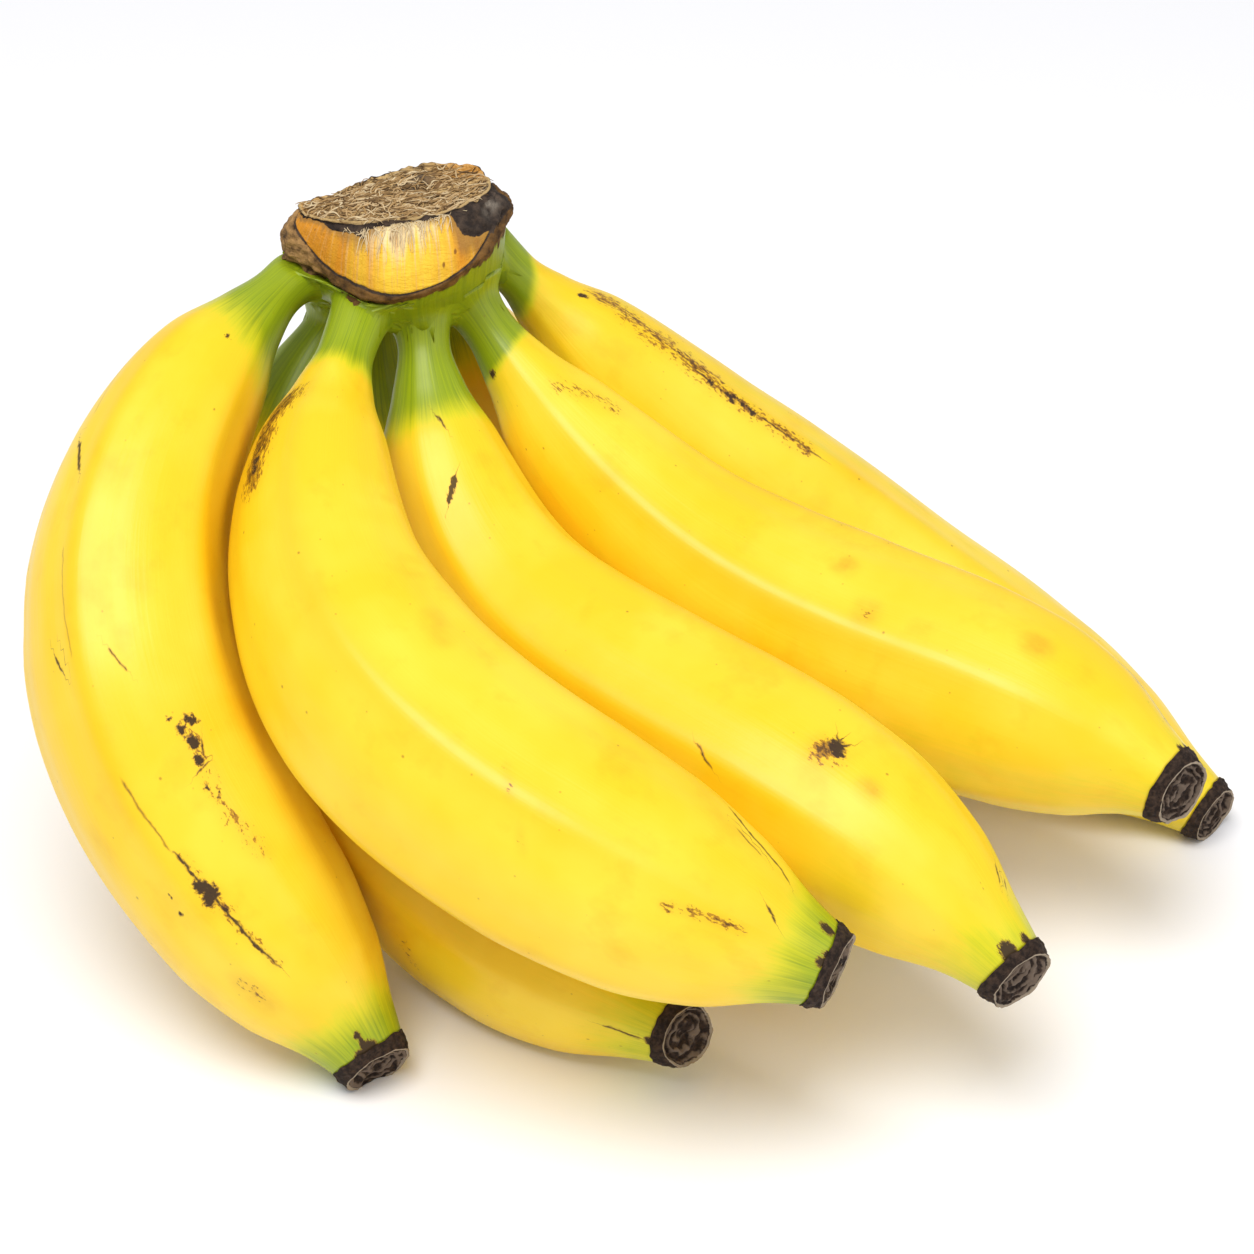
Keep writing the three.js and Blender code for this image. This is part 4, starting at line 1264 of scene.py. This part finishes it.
def looseFibres(topPoints, grid, run, angle):
    # a tube round each thread's middle line has a ring of points at each step, in the plane across the step
    shape = fibreShape
    random = np.random.default_rng(shape["seed"])
    onTop, topTone = topThreads(random, topPoints)
    hanging, hangingTone = hangingThreads(random, grid, run, angle)
    line = np.concatenate([onTop, hanging])
    tones = np.concatenate([topTone, hangingTone])
    total = len(line)
    part = np.linspace(0, 1, shape["points"])
    ahead = np.gradient(line, axis=1)
    ahead /= np.linalg.norm(ahead, axis=-1, keepdims=True)
    aside = np.cross(ahead, [0.1, -0.7, 0.7])
    aside /= np.maximum(np.linalg.norm(aside, axis=-1, keepdims=True), 1e-6)
    up = np.cross(aside, ahead)
    radius = random.uniform(*shape["radius"], total)
    radius[len(onTop):] *= shape["hangThinner"]
    radius = radius[:, None] * (0.35 + 0.65 * np.sin(np.pi * part)[None])
    turn = np.linspace(0, 2 * np.pi, shape["sides"], endpoint=False)
    ring = np.cos(turn)[:, None] * up[:, :, None] - np.sin(turn)[:, None] * aside[:, :, None]
    tubes = line[:, :, None] + radius[:, :, None, None] * ring
    rows, columns = tubes.shape[1:3]
    quad, triangle = gridFaces(rows, columns)
    each = rows * columns + 2
    poles = [tubes[:, :1].mean(axis=2), tubes[:, -1:].mean(axis=2)]
    points = np.concatenate([tubes.reshape(total, -1, 3), *poles], 1)
    offsets = (np.arange(total) * each)[:, None, None]
    piece = makePiece("looseFibres", points.reshape(-1, 3), (quad[None] + offsets).reshape(-1, 4),
                      (triangle[None] + offsets).reshape(-1, 3), driedFibre, {"tone": np.repeat(tones, each)})
    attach(piece, "root")


topPoints, crownSurface, crownRun, crownAngle = crownPiece()
print("crown made")
looseFibres(topPoints, crownSurface, crownRun, crownAngle)
print("fibres made")


# The flower ends

flowerEndShape = {
    "rings": 70,
    "sides": 110,
    "lean": np.array([0.0, -0.8, 0.6]),  # the way the worn face leans, to the front and up
    "slant": 0.36,  # how much shorter the remains are on that side, in parts of their length
    "grip": 0.7,  # how far their ragged edge reaches back over the peel, mm
    "ridges": 3.6,  # between the rim and the pit
    "ridgeHeight": 0.3,
}


def flowerEndPiece(index):
    # A side from a ragged edge on the peel to the rim, then a worn face: a slanting dish with crooked
    # ridges round a pit. q is the part of the rim's radius, 1 at the rim and 0 in the middle.
    finger = fingers[index]
    shape = flowerEndShape
    rings, sides = shape["rings"], shape["sides"]
    full = fingerLook["flowerEnd"]
    length = centreLine(finger, np.array([0.0, 1.0]))[-1]
    line, ahead, out, side, _ = centreLine(finger, np.array([1 - full / length]))
    turn = np.linspace(0, 2 * np.pi, sides, endpoint=False)
    spoke = np.cos(turn)[:, None] * out + np.sin(turn)[:, None] * side
    lean = shape["lean"] - ahead[0] * (ahead[0] @ shape["lean"])
    lean = lean / np.linalg.norm(lean)
    toLean = spoke @ lean
    radius = finger["radius"] * girth[-1][1]
    round3 = np.stack([6 * np.cos(turn), 6 * np.sin(turn), 9.0 * index + 0 * turn], -1)
    uneven = softNoise(round3, 3.5, 41) + 0.6 * softNoise(round3, 1.3, 42)
    rim = radius * (1.1 + 0.05 * uneven)
    back = -shape["grip"] * (0.75 + 0.45 * softNoise(round3, 1.1, 43))
    backRadius = fingerRadius(finger, 1 - (full - back.mean()) / length) + 0.25 - 0.33 * (back - back.mean())
    rimAt = full * (1 - shape["slant"] * (1 + toLean)) + 0.3 * softNoise(round3, 2.2, 44)
    rows = []
    sideRings = 22
    for part in np.linspace(0, 1, sideRings):
        bulge = 0.35 * math.sin(math.pi * part)
        wide = backRadius + (rim - backRadius) * part ** 0.8 + bulge
        rows.append((back + (rimAt - back) * part, wide, 1 + 0 * turn, np.full(sides, part)))
    for q in np.linspace(1, 0.02, rings - sideRings):
        slope = full * (1 - shape["slant"] * (1 + toLean * q))
        rimNoise = 0.3 * softNoise(round3, 2.2, 44) * q ** 6
        rows.append((slope + rimNoise, rim * q, q + 0 * turn, np.full(sides, 2 - q)))
    along, wide, q, station = (np.array([row[i] for row in rows]) for i in range(4))
    grid = line[0] + along[..., None] * ahead[0] + wide[..., None] * spoke
    bent = q + 0.2 * softNoise(grid, 3.4, 45) + 0.09 * softNoise(grid, 1.3, 46)
    wave = np.cos(2 * np.pi * shape["ridges"] * bent)
    onFace = stepBetween(0.98, 0.88, q) * (station > 1)
    dish = 0.55 * stepBetween(1.0, 0.8, q) + 0.9 * np.exp(-(q / 0.25) ** 2)
    crumple = 0.6 * softNoise(grid, 2.0, 47) + 0.25 * softNoise(grid, 0.8, 48)
    lift = onFace * (shape["ridgeHeight"] * wave * np.clip(3 * q, 0, 1) - dish + crumple)
    lift += 0.35 * np.exp(-((q - 1) / 0.04) ** 2) * (station > 0.9)
    grid = grid + lift[..., None] * ahead[0]
    roughSide = (station <= 1) * (0.25 * softNoise(grid, 1.0, 49) + 0.15 * softNoise(grid, 0.5, 50))
    grid = grid + (roughSide * stepBetween(0, 0.3, station))[..., None] * spoke
    grid[..., 2] = np.maximum(grid[..., 2], 0.0)
    crest = onFace * (0.5 + 0.5 * wave) * (0.75 + 0.6 * softNoise(grid, 2.2, 51))
    rimLine = np.exp(-((station - 1.0) / 0.07) ** 2)
    values = {"crest": crest, "rim": rimLine}
    values = {k: withPoles(v.reshape(rings, sides, 1))[:, 0] for k, v in values.items()}
    piece = makePiece(f"flowerEnd{index + 1}", withPoles(grid), *gridFaces(rings, sides), driedEnd, values)
    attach(piece, "root")
    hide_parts(f"flower_end_{index + 1}")
    return piece


flowerEnds = [flowerEndPiece(i) for i in range(len(fingers))]
print("flower ends made")


# Floor, lights and camera

stageLook = {
    "floor": "#fbfbfe",
    "sky": 0.52,
    "lights": {  # place, width and power of each, in metres and watts
        "key": ((-0.2, -0.45, 1.3), 0.9, 14.0),
        "fill": ((1.0, -0.6, 0.7), 1.1, 3.2),
    },
    "lightAim": (0, 0, 0.05),
    "sensor": 36.0,  # width, mm
}


def stage():
    material, tree, shader = newMaterial("paleFloorPaper", {"Roughness": 0.9, "Specular IOR Level": 0.1,
                                                            "Base Color": linearColour(stageLook["floor"])})
    mesh = bpy.data.meshes.new("floor")
    half = 4.0
    corners = [(-half, -half, 0), (half, -half, 0), (half, half, 0), (-half, half, 0)]
    mesh.from_pydata(corners, [], [(0, 1, 2, 3)])
    mesh.materials.append(material)
    floor = bpy.data.objects.new("floor", mesh)
    bpy.context.scene.collection.objects.link(floor)

    world = bpy.data.worlds.new("studio")
    world.use_nodes = True
    world.node_tree.nodes["Background"].inputs[0].default_value = (1, 1, 1, 1)
    world.node_tree.nodes["Background"].inputs[1].default_value = stageLook["sky"]
    bpy.context.scene.world = world

    for name, (place, size, power) in stageLook["lights"].items():
        light = bpy.data.lights.new(name, "AREA")
        light.shape = "DISK"
        light.size = size
        light.energy = power
        lamp = bpy.data.objects.new(name, light)
        lamp.location = place
        way = Vector(stageLook["lightAim"]) - Vector(place)
        lamp.rotation_euler = way.to_track_quat("-Z", "Y").to_euler()
        bpy.context.scene.collection.objects.link(lamp)

    lens = bpy.data.cameras.new("camera")
    lens.sensor_width = stageLook["sensor"]
    lens.lens = stageLook["sensor"] * photoEye["focal"] / (2 * photoEye["centre"])
    lens.clip_end = 20
    camera = bpy.data.objects.new("camera", lens)
    camera.location = (photoEye["stand"] - middle) * toMetres
    aim = Vector((photoEye["aim"] - middle) * toMetres) - camera.location
    camera.rotation_euler = aim.to_track_quat("-Z", "Y").to_euler()
    bpy.context.scene.collection.objects.link(camera)
    bpy.context.scene.camera = camera
    bpy.context.scene.view_settings.view_transform = "Standard"


stage()
print("stage made")
